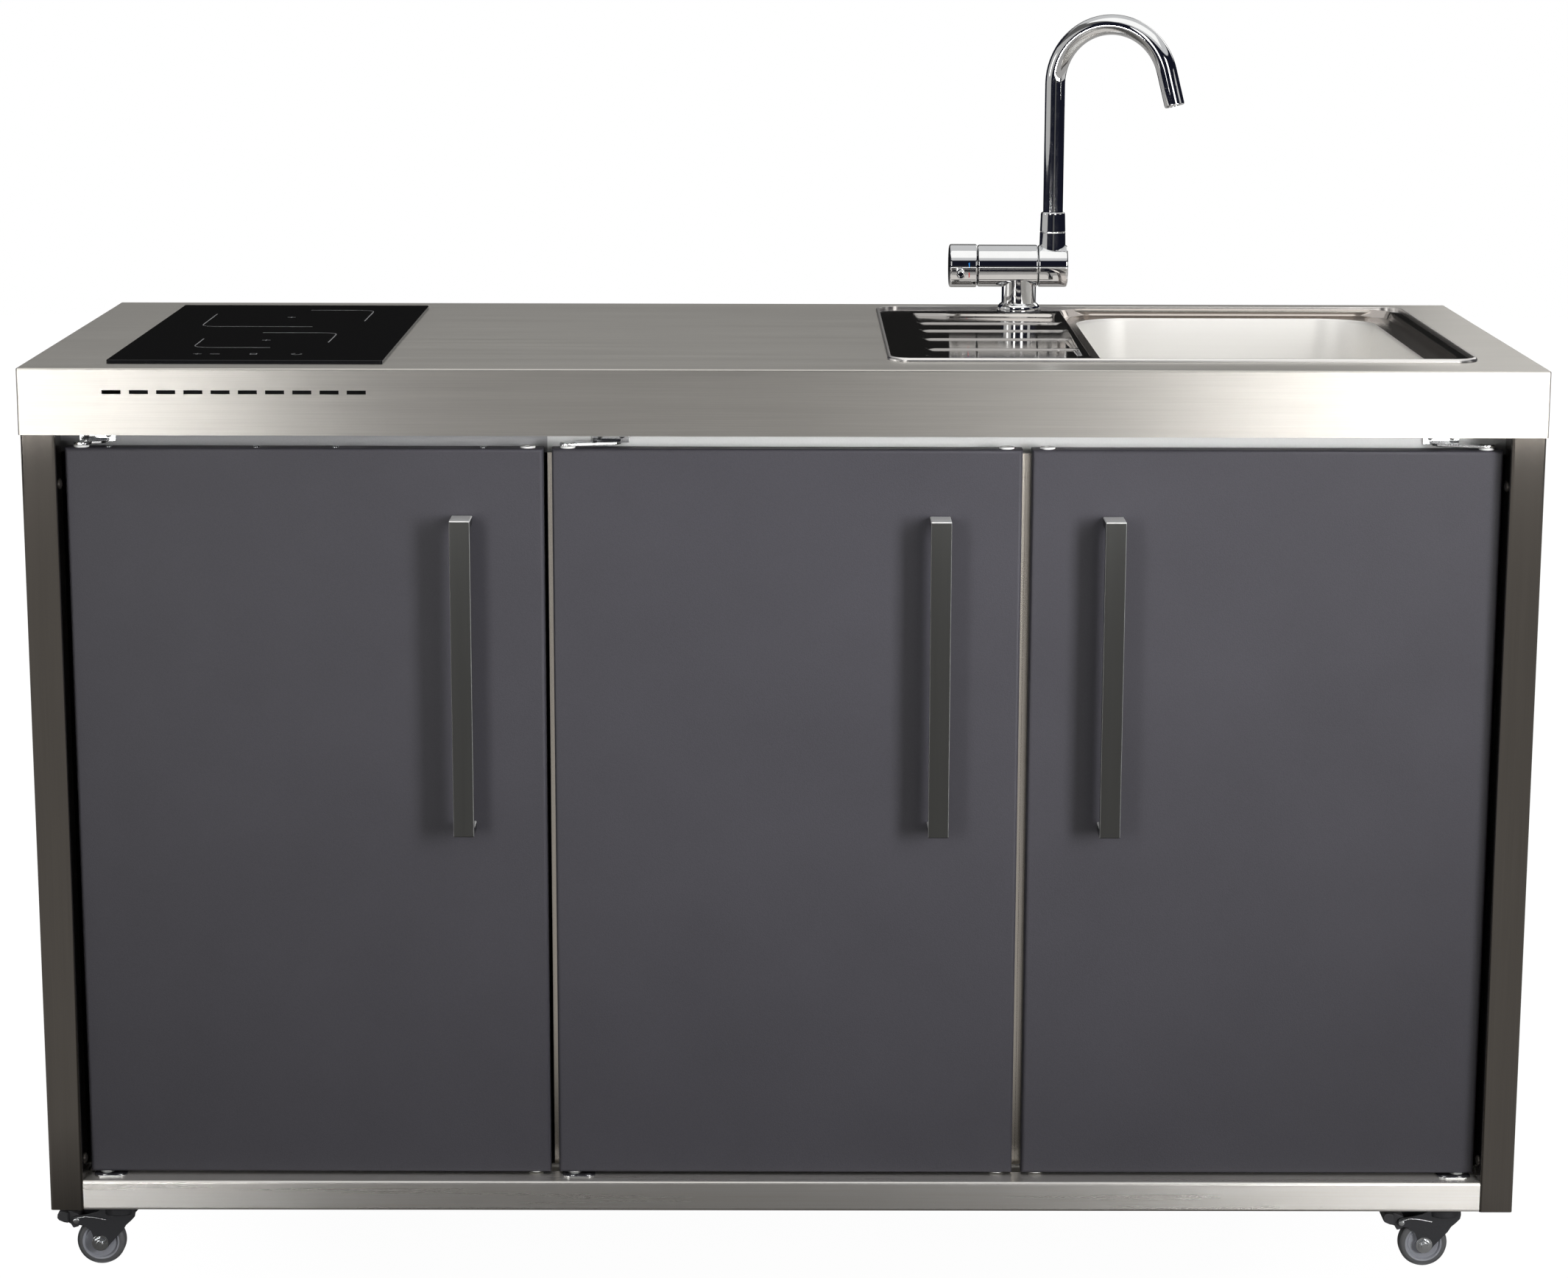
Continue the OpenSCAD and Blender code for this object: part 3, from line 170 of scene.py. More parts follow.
bar = {"fineness": 1600.0, "contrast": 0.16, "bump": 0.1}
pressed = {"streak": 0.3, "grain": "x", "fineness": 900.0}
steelLooks = {
    "worktop_steel": {"color": (0.64, 0.62, 0.583), "rough": 0.3, "streak": 0.85, "grain": "x",
        "fineness": 1300.0, "contrast": 0.2, "bump": 0.12},
    "leg_steel": {"color": (0.168, 0.154, 0.138), "rough": 0.125, "streak": 0.9, "grain": "z",
        "fineness": 1300.0, "contrast": 0.2, "bump": 0.12},
    # The base rails are lighter than their steel, a painted sheen that brightens their reflections
    "rail_steel": {"color": (1.0, 0.95, 0.87), "rough": 0.28, "streak": 0.95, "grain": "x",
        "fineness": 1100.0, "contrast": 0.16, "bump": 0.12},
    "panel_steel": {"color": (0.5, 0.49, 0.465), "rough": 0.4, "streak": 0.5, "grain": "x",
        "fineness": 900.0, "contrast": 0.12, "bump": 0.1},
    # The dividers are lighter than their steel, painted light on the strips seen in the shaded door gaps
    "divider_steel": {"color": (0.74, 0.69, 0.62), "rough": 0.22, "streak": 0.4, "grain": "z",
        "fineness": 1000.0, "contrast": 0.14, "bump": 0.1},
    # Handle bars: the faces are darker than their steel, a painted shade; the top faces and front edges are
    # lighter copies of it, painted highlights
    "handle_steel": {**bar, "color": (0.112, 0.114, 0.111), "rough": 0.2, "streak": 0.9, "grain": "z"},
    "handle_top_painted_highlight": {**bar, "color": (0.8, 0.8, 0.79), "rough": 0.35, "streak": 0.3, "grain": "x",
        "metal": 0.2},
    "handle_edge_painted_highlight": {**bar, "color": (0.42, 0.42, 0.41), "rough": 0.35, "streak": 0.3, "grain": "z",
        "metal": 0.5},
    "sink_steel": {**pressed, "color": (0.6, 0.575, 0.55), "rough": 0.07, "contrast": 0.06, "bump": 0.015},
    # The rim is lighter than the deck's steel, a painted highlight along the rolled edge
    "rim_steel_painted_highlight": {**pressed, "color": (0.92, 0.9, 0.88), "rough": 0.3, "contrast": 0.04, "bump": 0.01},
    # The bowl is near white and half unmetallic, painted light that makes it brighter than the deck's steel
    "bowl_steel_painted_light": {**pressed, "color": (0.98, 0.955, 0.925), "rough": 0.45, "contrast": 0.04,
        "bump": 0.04, "metal": 0.55},
    "ledge_steel": {**pressed, "color": (0.62, 0.57, 0.53), "rough": 0.13, "contrast": 0.05,
        "bump": 0.02, "metal": 0.85},
}
# Faces that look left or right carry their grain from front to back
endLooks = {"worktop_end": "worktop_steel", "end_panel": "panel_steel", "end_rail_painted_sheen": "rail_steel"}
for endLook, sheet in endLooks.items():
    steelLooks[endLook] = {**steelLooks[sheet], "grain": "y"}
brightLooks = {
    "tap_chrome": {"color": (0.8, 0.81, 0.82), "rough": 0.035, "bump": 0.012},
    "polished_steel": {"color": (0.72, 0.72, 0.71), "rough": 0.12, "bump": 0.02},
    "hinge_chrome": {"color": (0.72, 0.73, 0.74), "rough": 0.16, "bump": 0.04},
    "zinc_bolt": {"color": (0.66, 0.68, 0.7), "rough": 0.2, "bump": 0.06},
    "brass_fitting": {"color": (0.72, 0.53, 0.26), "rough": 0.26, "bump": 0.05},
}
plainFineness = 500.0
grainLooks = {
    "door_coat": {"color": (0.054, 0.052, 0.062), "rough": 0.5, "fineness": 900.0, "contrast": 0.2,
        "bump": 0.35, "gloss": 0.3},
    "door_back": {"color": (0.28, 0.29, 0.3), "rough": 0.6, "fineness": 400.0, "contrast": 0.08,
        "bump": 0.1},
    # The hob case is darker than zinc-coated sheet, a painted shade that makes the vent slots look black
    "galvanised_case": {"color": (0.09, 0.091, 0.095), "rough": 0.45, "fineness": 120.0,
        "contrast": 0.22, "bump": 0.05, "metal": 0.8},
    "grey_rail": {"color": (0.42, 0.42, 0.43), "rough": 0.45, "contrast": 0.08, "bump": 0.08},
    "bright_rail": {"color": (0.93, 0.93, 0.92), "rough": 0.4, "contrast": 0.04, "bump": 0.06},
    "white_plastic": {"color": (0.84, 0.84, 0.82), "rough": 0.4, "contrast": 0.04, "bump": 0.08},
    "white_bush": {"color": (0.86, 0.86, 0.84), "rough": 0.38, "fineness": 700.0, "contrast": 0.04,
        "bump": 0.08},
    "white_liner": {"color": (0.86, 0.87, 0.86), "rough": 0.28, "fineness": 260.0, "contrast": 0.03,
        "bump": 0.06},
    "dark_plastic": {"color": (0.045, 0.045, 0.05), "rough": 0.45, "fineness": 700.0, "contrast": 0.15,
        "bump": 0.15},
    "fridge_shell": {"color": (0.19, 0.19, 0.205), "rough": 0.5, "fineness": 600.0, "contrast": 0.12,
        "bump": 0.12},
    "compressor_black": {"color": (0.02, 0.02, 0.021), "rough": 0.32, "fineness": 300.0,
        "contrast": 0.2, "bump": 0.1},
    "dark_screw": {"color": (0.05, 0.045, 0.04), "rough": 0.35, "fineness": 600.0, "contrast": 0.2,
        "bump": 0.1, "metal": 0.7},
    "castor_black": {"color": (0.04, 0.041, 0.046), "rough": 0.42, "contrast": 0.2, "bump": 0.12,
        "metal": 0.3},
    "gasket_rubber": {"color": (0.74, 0.74, 0.72), "rough": 0.6, "contrast": 0.05, "bump": 0.12},
    "cartridge_plastic": {"color": (0.8, 0.78, 0.72), "rough": 0.45, "contrast": 0.05, "bump": 0.08},
    "tyre_rubber": {"color": (0.125, 0.127, 0.132), "rough": 0.55, "fineness": 700.0, "contrast": 0.12,
        "bump": 0.15},
    "wheel_hub": {"color": (0.36, 0.37, 0.41), "rough": 0.4, "contrast": 0.06, "bump": 0.08},
    "blue_mark": {"color": (0.02, 0.22, 0.62), "rough": 0.35, "fineness": 700.0, "contrast": 0.05,
        "bump": 0.03},
    "red_mark": {"color": (0.68, 0.04, 0.03), "rough": 0.35, "fineness": 700.0, "contrast": 0.05,
        "bump": 0.03},
    "hob_print": {"color": (0.42, 0.42, 0.43), "rough": 0.5, "fineness": 700.0, "contrast": 0.12,
        "bump": 0.03, "gloss": 0.2},
}


def hobGlass():
    material, tree, shader = startMaterial("hob_glass", (0.006, 0.006, 0.007), 0.035,
        Specular_IOR_Level=0.2)
    smears = addNoise(tree, (18.0, 18.0, 18.0), 4.0)
    tree.links.new(addRange(tree, smears, 0.025, 0.05), shader.inputs["Roughness"])
    specks = addNoise(tree, (900.0, 900.0, 900.0), 1.0)
    tinted = addTint(tree, addRange(tree, specks, 0.0, 1.0, 0.55, 0.75), (0.006, 0.006, 0.007),
        (0.012, 0.012, 0.014))
    tree.links.new(tinted, shader.inputs["Base Color"])
    return material


def clearGlass():
    material, tree, shader = startMaterial("shelf_glass", (0.82, 0.9, 0.88), 0.04,
        Transmission_Weight=0.9, IOR=1.5)
    smears = addNoise(tree, (25.0, 25.0, 25.0), 3.0)
    tree.links.new(addRange(tree, smears, 0.02, 0.09), shader.inputs["Roughness"])
    return material


finishes = {name: brushedSteel(name, look) for name, look in steelLooks.items()}
finishes.update({name: brightMetal(name, look) for name, look in brightLooks.items()})
finishes.update({name: grainedSurface(name, look) for name, look in grainLooks.items()})
finishes["hob_glass"] = hobGlass()
finishes["shelf_glass"] = clearGlass()

nodeFinishes = {
    "hob_case": "galvanised_case", "sink_waste": "polished_steel", "bottle_trap": "white_plastic",
    "fridge_top_rail": "grey_rail", "cupboard_top_rail": "bright_rail", "back_panel": "panel_steel",
    "side_panels": "end_panel", "floor_panel": "panel_steel", "fridge_divider": "divider_steel",
    "cupboard_dividers": "divider_steel", "cupboard_shelf": "panel_steel",
    "cupboard_catches": "dark_plastic", "fridge_cabinet": "fridge_shell",
    "fridge_liner": "white_liner", "fridge_shelves": "shelf_glass", "compressor": "compressor_black",
    "cable_gland": "dark_plastic", "water_inlet": "brass_fitting", "fridge_gasket": "gasket_rubber",
    "tap_cartridge": "cartridge_plastic", "castor_plates": "castor_black",
    "leg_front_left": "leg_steel", "leg_front_right": "leg_steel", "leg_rear_left": "leg_steel",
    "leg_rear_right": "leg_steel", "base_rail_front": "rail_steel",
    "fridge_door_liner": "white_liner", "middle_door_liner": "door_back", "right_door_liner": "door_back",
}
for name, finish in nodeFinishes.items():
    mesh = nodes[name].data
    mesh.materials.clear()
    mesh.materials.append(finishes[finish])
print("materials made,", len(finishes))


# Mesh tools, in millimetres until a piece is finished

def addObject(name, data):
    piece = bpy.data.objects.new(name, data)
    bpy.context.scene.collection.objects.link(piece)
    return piece


def newShape(bm, before):
    return [v for v in bm.verts if v not in before]


# Faces at the vertices, each once
def facesOf(verts):
    return list(dict.fromkeys(face for v in verts for face in v.link_faces))


def pick(geometry, kind):
    return [part for part in geometry if isinstance(part, kind)]


def addBox(bm, low, high):
    low, high = Vector(low), Vector(high)
    size = Matrix.Diagonal((*(high - low), 1))
    return bmesh.ops.create_cube(bm, size=1, matrix=Matrix.Translation((low + high) / 2) @ size)["verts"]


def addRod(bm, radius, start, end, steps=40, tipRadius=None):
    start, end = Vector(start), Vector(end)
    turn = Vector((0, 0, 1)).rotation_difference(end - start).to_matrix().to_4x4()
    return bmesh.ops.create_cone(bm, cap_ends=True, cap_tris=False, segments=steps, radius1=radius,
        radius2=radius if tipRadius is None else tipRadius, depth=(end - start).length,
        matrix=Matrix.Translation((start + end) / 2) @ turn)["verts"]


# Turned shape: the profile's points are (distance along the line, radius)
def addTurned(bm, profile, start, direction, steps=72):
    before = set(bm.verts)
    verts = [bm.verts.new((radius, 0, along)) for along, radius in profile]
    edges = [bm.edges.new(pair) for pair in zip(verts, verts[1:])]
    bmesh.ops.spin(bm, geom=verts + edges, cent=(0, 0, 0), axis=(0, 0, 1), angle=math.tau,
        steps=steps, use_merge=True, use_duplicate=False)
    made = newShape(bm, before)
    bmesh.ops.remove_doubles(bm, verts=made, dist=0.001)
    made = newShape(bm, before)
    turn = Vector((0, 0, 1)).rotation_difference(Vector(direction)).to_matrix().to_4x4()
    bmesh.ops.transform(bm, matrix=Matrix.Translation(Vector(start)) @ turn, verts=made)
    bmesh.ops.recalc_face_normals(bm, faces=facesOf(made))
    return made


# Flat plate from an outline in its own XY plane
def addPlate(bm, outline, thickness, place=Matrix.Identity(4)):
    before = set(bm.verts)
    face = bm.faces.new([bm.verts.new((x, y, 0)) for x, y in outline])
    raised = bmesh.ops.extrude_face_region(bm, geom=[face])["geom"]
    lifted = pick(raised, bmesh.types.BMVert)
    bmesh.ops.translate(bm, vec=(0, 0, thickness), verts=lifted)
    made = newShape(bm, before)
    bmesh.ops.transform(bm, matrix=place, verts=made)
    bmesh.ops.recalc_face_normals(bm, faces=facesOf(made))
    return made


def roundedOutline(width, depth, radius, steps=8, centre=(0, 0)):
    points = []
    for quarter, (sx, sy) in enumerate([(1, 1), (-1, 1), (-1, -1), (1, -1)]):
        for i in range(steps + 1):
            angle = math.pi / 2 * (quarter + i / steps)
            points.append((centre[0] + sx * (width / 2 - radius) + radius * math.cos(angle),
                centre[1] + sy * (depth / 2 - radius) + radius * math.sin(angle)))
    return points


def addLoop(bm, outline, z):
    verts = [bm.verts.new((x, y, z)) for x, y in outline]
    return [bm.edges.new(pair) for pair in zip(verts, verts[1:] + verts[:1])]


# Skin that joins a row of loops with equal numbers of points
def addSkin(bm, loops):
    for near, far in zip(loops, loops[1:]):
        bmesh.ops.bridge_loops(bm, edges=near + far)


def softenEdges(bm, width, segments=2, angle=30, picked=None):
    bm.normal_update()
    sharp = [e for e in bm.edges if e.is_manifold and e.calc_face_angle(0) > math.radians(angle)
        and (picked is None or picked(e))]
    if sharp:
        bmesh.ops.bevel(bm, geom=sharp, offset=width, offset_type="OFFSET", segments=segments,
            profile=0.5, affect="EDGES", clamp_overlap=True, material=-1)


def finishPiece(bm, name, body, finish, replaced=(), smoothAngle=32):
    bmesh.ops.scale(bm, vec=(0.001, 0.001, 0.001), verts=bm.verts)
    mesh = bpy.data.meshes.new(name)
    bm.to_mesh(mesh)
    bm.free()
    for polygon in mesh.polygons:
        polygon.use_smooth = True
    mesh.set_sharp_from_angle(angle=math.radians(smoothAngle))
    mesh.materials.append(finishes[finish])
    piece = addObject(name, mesh)
    even = piece.modifiers.new("even_shading", "WEIGHTED_NORMAL")
    even.keep_sharp = True
    even.weight = 80
    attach(piece, body)
    if replaced:
        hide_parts(*replaced)
    return piece


# Copy of a node with merged faces, in millimetres, ready for softer edges
def copyNode(name):
    bm = bmesh.new()
    bm.from_mesh(nodes[name].data)
    bmesh.ops.scale(bm, vec=(1000, 1000, 1000), verts=bm.verts)
    bmesh.ops.remove_doubles(bm, verts=bm.verts, dist=0.005)
    bmesh.ops.dissolve_limit(bm, angle_limit=math.radians(0.5), verts=bm.verts, edges=bm.edges)
    return bm


# Moves the faces that pass a test into a mesh of their own
def takeFaces(bm, test):
    taken = bm.copy()
    for mesh, wanted in ((taken, False), (bm, True)):
        mesh.normal_update()
        chosen = [f for f in mesh.faces if bool(test(f.normal)) == wanted]
        bmesh.ops.delete(mesh, geom=chosen, context="FACES")
    return taken


def boxMm(name):
    low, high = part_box(name)
    return low * 1000, high * 1000


# Worktop and base rails: a face counts as an end where it looks left or right

sideways = 0.7
worktop = {"foldRadius": 1.8, "foldSteps": 4}


def makeWorktop():
    low, high = boxMm("worktop")
    bm = copyNode("worktop")

    def outer(edge):
        a, b = (v.co for v in edge.verts)
        top = abs(a.z - high.z) < 0.01 and abs(b.z - high.z) < 0.01
        sides = [abs(p.x - low.x) < 0.01 or abs(p.x - high.x) < 0.01 for p in (a, b)]
        ends = [abs(p.y - low.y) < 0.01 or abs(p.y - high.y) < 0.01 for p in (a, b)]
        onRim = top and (all(sides) or all(ends))
        corner = all(sides) and all(ends) and abs(a.z - b.z) > 1
        return onRim or corner

    softenEdges(bm, worktop["foldRadius"], worktop["foldSteps"], 60, outer)
    ends = takeFaces(bm, lambda n: abs(n.x) > sideways)
    finishPiece(ends, "worktop_ends", "frame", "worktop_end")
    finishPiece(bm, "worktop_sheet", "frame", "worktop_steel", ["worktop"])


makeWorktop()

bm = copyNode("base_frame_rails")
ends = takeFaces(bm, lambda n: abs(n.x) > sideways)
finishPiece(ends, "side_rail_faces", "frame", "end_rail_painted_sheen")
finishPiece(bm, "base_rail_faces", "frame", "rail_steel", ["base_frame_rails"])
print("worktop and frame done")


# Doors with their bars and bushes

# Normals that pick the faces: sideTurn and level bound the bar's front edges. The bars' top faces and front
# edges get lighter finishes, painted highlights, and their other faces a darker one, painted shade
door = {"foldEdge": 0.35, "barEdge": 1.1, "barEdgeSteps": 3, "bushEdge": 0.35,
    "topTurn": 0.15, "frontTurn": -0.2, "sideTurn": 0.3, "level": 0.1}
for name in ("fridge_door", "middle_door", "right_door"):
    bm = copyNode(name + "_pan")
    high = boxMm(name + "_pan")[1]
    softenEdges(bm, door["foldEdge"], 2, 50, lambda e: all(v.co.y > high.y - 0.01 for v in e.verts))
    finishPiece(bm, name + "_front", name, "door_coat", [name + "_pan"], 25)
    bm = copyNode(name + "_handle")
    softenEdges(bm, door["barEdge"], door["barEdgeSteps"], 50)
    # The bar's top faces and front edges are split off to carry painted highlights; the rest carries painted
    # shade
    top = takeFaces(bm, lambda n: n.z > door["topTurn"])
    finishPiece(top, name + "_bar_top_painted_highlight", name, "handle_top_painted_highlight")
    edges = takeFaces(bm, lambda n: n.y < door["frontTurn"] and abs(n.x) > door["sideTurn"]
        and abs(n.z) < door["level"])
    finishPiece(edges, name + "_bar_edges_painted_highlight", name, "handle_edge_painted_highlight")
    finishPiece(bm, name + "_bar", name, "handle_steel", [name + "_handle"])
    bm = copyNode(name + "_bushes")
    softenEdges(bm, door["bushEdge"], 2, 50)
    finishPiece(bm, name + "_collars", name, "white_bush", [name + "_bushes"])
print("doors done")


# Hob glass and its plain printed zones

hob = {"edge": 0.9, "lineWidth": 1.1, "markWidth": 0.9, "ringWidth": 0.8, "printLift": 0.05,
    "zoneCorner": 18, "front": -294}


def addStroke(bm, points, width, z):
    for (x0, y0), (x1, y1) in zip(points, points[1:]):
        length = math.hypot(x1 - x0, y1 - y0) + width * 0.6
        turn = Matrix.Rotation(math.atan2(y1 - y0, x1 - x0), 4, "Z")
        size = Matrix.Diagonal((length, width, 0.06, 1))
        place = Matrix.Translation(((x0 + x1) / 2, (y0 + y1) / 2, z))
        bmesh.ops.create_cube(bm, size=1, matrix=place @ turn @ size)


def roundedBend(before, corner, after, radius, steps=6):
    before, corner, after = Vector(before), Vector(corner), Vector(after)
    start = corner + (before - corner).normalized() * radius
    end = corner + (after - corner).normalized() * radius
    bend = [start.lerp(corner, t).lerp(corner.lerp(end, t), t) for t in (i / steps for i in range(steps + 1))]
    return [tuple(before)] + [tuple(p) for p in bend] + [tuple(after)]


def makeHob():
    high = boxMm("hob_glass")[1]
    bm = copyNode("hob_glass")
    softenEdges(bm, hob["edge"], 3, 60, lambda e: all(v.co.z > high.z - 0.01 for v in e.verts))
    finishPiece(bm, "hob_plate", "frame", "hob_glass", ["hob_glass"])
    bm = bmesh.new()
    z = high.z + hob["printLift"]
    front, mark = hob["front"], hob["markWidth"]
    strokes = [
        roundedBend((-618, front + 445), (-618, front + 325), (-500, front + 325), hob["zoneCorner"]),
        roundedBend((-520, front + 485), (-450, front + 485), (-450, front + 380), hob["zoneCorner"]),
        roundedBend((-598, front + 214), (-598, front + 138), (-520, front + 138), hob["zoneCorner"]),
        roundedBend((-544, front + 269), (-466, front + 269), (-466, front + 184), hob["zoneCorner"]),
    ]
    for stroke in strokes:
        addStroke(bm, stroke, hob["lineWidth"], z)
    for x, y in ((-533, front + 414), (-532, front + 202), (-585, front + 84)):
        addStroke(bm, [(x - 4, y), (x + 4, y)], mark, z)
        addStroke(bm, [(x, y - 4), (x, y + 4)], mark, z)
    addStroke(bm, [(-572, front + 84), (-563, front + 84)], mark, z)
    addStroke(bm, [(-532, front + 80), (-526, front + 80), (-526, front + 88), (-532, front + 88),
        (-532, front + 80)], mark, z)
    ring = [(-486 + 5 * math.cos(t * math.pi / 8 + 2), front + 84 + 5 * math.sin(t * math.pi / 8 + 2))
        for t in range(14)]
    addStroke(bm, ring, hob["ringWidth"], z)
    finishPiece(bm, "hob_marks", "frame", "hob_print")


makeHob()
print("hob done")


# Sink: rolled rim, polished deck, pressed drainer, sloped ledge and satin bowl

sink = {
    "centre": (398, 11), "size": (590, 484), "corner": 24, "deckZ": 941.2,
    "drainer": ((139, -191), (304, 200)), "ribs": (-124, -35, 42, 113), "ribWidth": 4.0,
    "ribFlank": 3.0, "drainDepth": 1.5, "backDepth": 2.9, "waste": (482.5, 11), "bowlDepth": 148.8,
    "ledgeEdge": (368.5, 461.5, 30, 491.75, 16.75), "mouth": (330, 434, 60, 487, 11),
    "ledge": [(0, 0), (0.03, -0.4), (0.1, -3.4), (0.18, -6.6), (0.25, -7.5), (0.4, -7.95), (0.97, -8.1),
        (1, -8.25)],
    "walls": [((330, 434, 60, 487, 11), -8.25), ((329, 433, 60, 487, 11), -8.9),
        ((327, 431, 60, 486.8, 11), -12), ((322, 426, 59, 486, 11), -32), ((316, 420, 58, 485, 11), -84),
        ((310, 414, 56, 484.4, 11), -120), ((302, 406, 53, 484, 11), -134),
        ((288, 392, 48, 483.5, 11), -143.5), ((263, 367, 40, 483, 11), -147.6)],
}


def rampUp(value, start, end):
    t = min(1.0, max(0.0, (value - start) / (end - start)))
    return t * t * (3 - 2 * t)


# Height of the drainer over the deck: troughs between narrow ribs, deeper towards the back
def drainerHeight(x, y):
    (x0, y0), (x1, y1) = sink["drainer"]
    edge = rampUp(y - y0, 2, 9) * rampUp(y1 - y, 0, 4.5) * rampUp(x - x0, 2, 12) * rampUp(x1 - x, 2, 9)
    share = (x - x0) / (x1 - x0)
    gap = min(abs(y - rib) for rib in sink["ribs"])
    crest = 1 - rampUp(gap, sink["ribWidth"] / 2, sink["ribWidth"] / 2 + sink["ribFlank"])
    ends = rampUp(share, 0.03, 0.09) * rampUp(1 - share, 0, 0.05)
    depth = sink["drainDepth"] + sink["backDepth"] * (0.3 + 0.7 * share) * rampUp(y, 115, 190)
    return -depth * edge * (1 - 0.95 * crest * ends)


def faceUp(bm):
    bmesh.ops.recalc_face_normals(bm, faces=bm.faces)
    if sum(face.normal.z * face.calc_area() for face in bm.faces) < 0:
        bmesh.ops.reverse_faces(bm, faces=bm.faces)


def sinkLoop(bm, shape, z):
    width, depth, radius, x, y = shape
    return addLoop(bm, roundedOutline(width, depth, radius, 14, (x, y)), sink["deckZ"] + z)


def ledgeLoops(bm):
    for share, z in sink["ledge"]:
        shape = [near + (far - near) * share for near, far in zip(sink["ledgeEdge"], sink["mouth"])]
        yield sinkLoop(bm, shape, z)


def makeSink():
    cx, cy = sink["centre"]
    width, depth = sink["size"]
    deck = sink["deckZ"]
    bm = bmesh.new()
    rim = [(0, 940.02), (0, 940.9), (0.25, 941.9), (0.8, 942.9), (1.5, 943.5), (2.3, 943.75), (3.5, 943.75),
        (3.8, 943.6), (3.9, 943.3), (3.9, deck)]
    addSkin(bm, [addLoop(bm, roundedOutline(width - 2 * inset, depth - 2 * inset,
        sink["corner"] - inset / 2, 10, (cx, cy)), z) for inset, z in rim])
    faceUp(bm)
    finishPiece(bm, "sink_rim", "frame", "rim_steel_painted_highlight", ["sink"], 60)

    bm = bmesh.new()
    (x0, y0), (x1, y1) = sink["drainer"]
    edges = addLoop(bm, roundedOutline(width - 7.8, depth - 7.8, sink["corner"] - 1.95, 10, (cx, cy)), deck)
    edges += addLoop(bm, [(x0, y0), (x1, y0), (x1, y1), (x0, y1)], deck)
    edges += sinkLoop(bm, sink["ledgeEdge"], 0)
    bmesh.ops.triangle_fill(bm, use_beauty=True, use_dissolve=False, edges=edges, normal=(0, 0, 1))
    grid = bmesh.ops.create_grid(bm, x_segments=56, y_segments=380, size=0.5,
        matrix=Matrix.Translation(((x0 + x1) / 2, (y0 + y1) / 2, deck))
        @ Matrix.Diagonal((x1 - x0, y1 - y0, 1, 1)))["verts"]
    for v in grid:
        v.co.z = deck + drainerHeight(v.co.x, v.co.y)
    finishPiece(bm, "sink_deck", "frame", "sink_steel", (), 75)

    bm = bmesh.new()
    addSkin(bm, list(ledgeLoops(bm)))
    faceUp(bm)
    finishPiece(bm, "sink_ledge", "frame", "ledge_steel", (), 60)

    bm = bmesh.new()
    loops = [sinkLoop(bm, *step) for step in sink["walls"]]
    loops.append(addLoop(bm, roundedOutline(76, 76, 37.9, 14, sink["waste"]), deck - sink["bowlDepth"]))
    addSkin(bm, loops)
    faceUp(bm)
    finishPiece(bm, "sink_bowl", "frame", "bowl_steel_painted_light", (), 60)

    bm = bmesh.new()
    wx, wy = sink["waste"]
    z = deck - 150
    addTurned(bm, [(1.2, 38), (2.4, 37.2), (2.6, 35), (1.6, 31), (-2, 29.6), (-6, 27), (-7, 20), (-7.4, 0)],
        (wx, wy, z), (0, 0, 1), 48)
    for ring in range(1, 4):
        for i in range(ring * 6):
            angle = math.tau * i / (ring * 6)
            spot = (wx + ring * 6 * math.cos(angle), wy + ring * 6 * math.sin(angle))
            addRod(bm, 1.6, (*spot, z - 7.3), (*spot, z - 6.2), 10)
    finishPiece(bm, "waste_strainer", "frame", "polished_steel", (), 40)


makeSink()
print("sink done")


# Tap

tap = {"x": 262.0, "y": 225.9, "axisZ": 991.3, "deckZ": 941.2, "barrelRadius": 23.2,
    "knobX": 184, "knobRadius": 23.8, "markX": 205, "leverX": 195.5, "leverTurn": 9, "hubX": 298.55,
    "spoutTurn": -25, "tubeRadius": 10.94, "tubeStart": 22.0, "archZ": 1190.8, "archRadius": 65.5,
    "archSweep": 165, "tipLength": 39.0, "nozzleLength": 21.0}


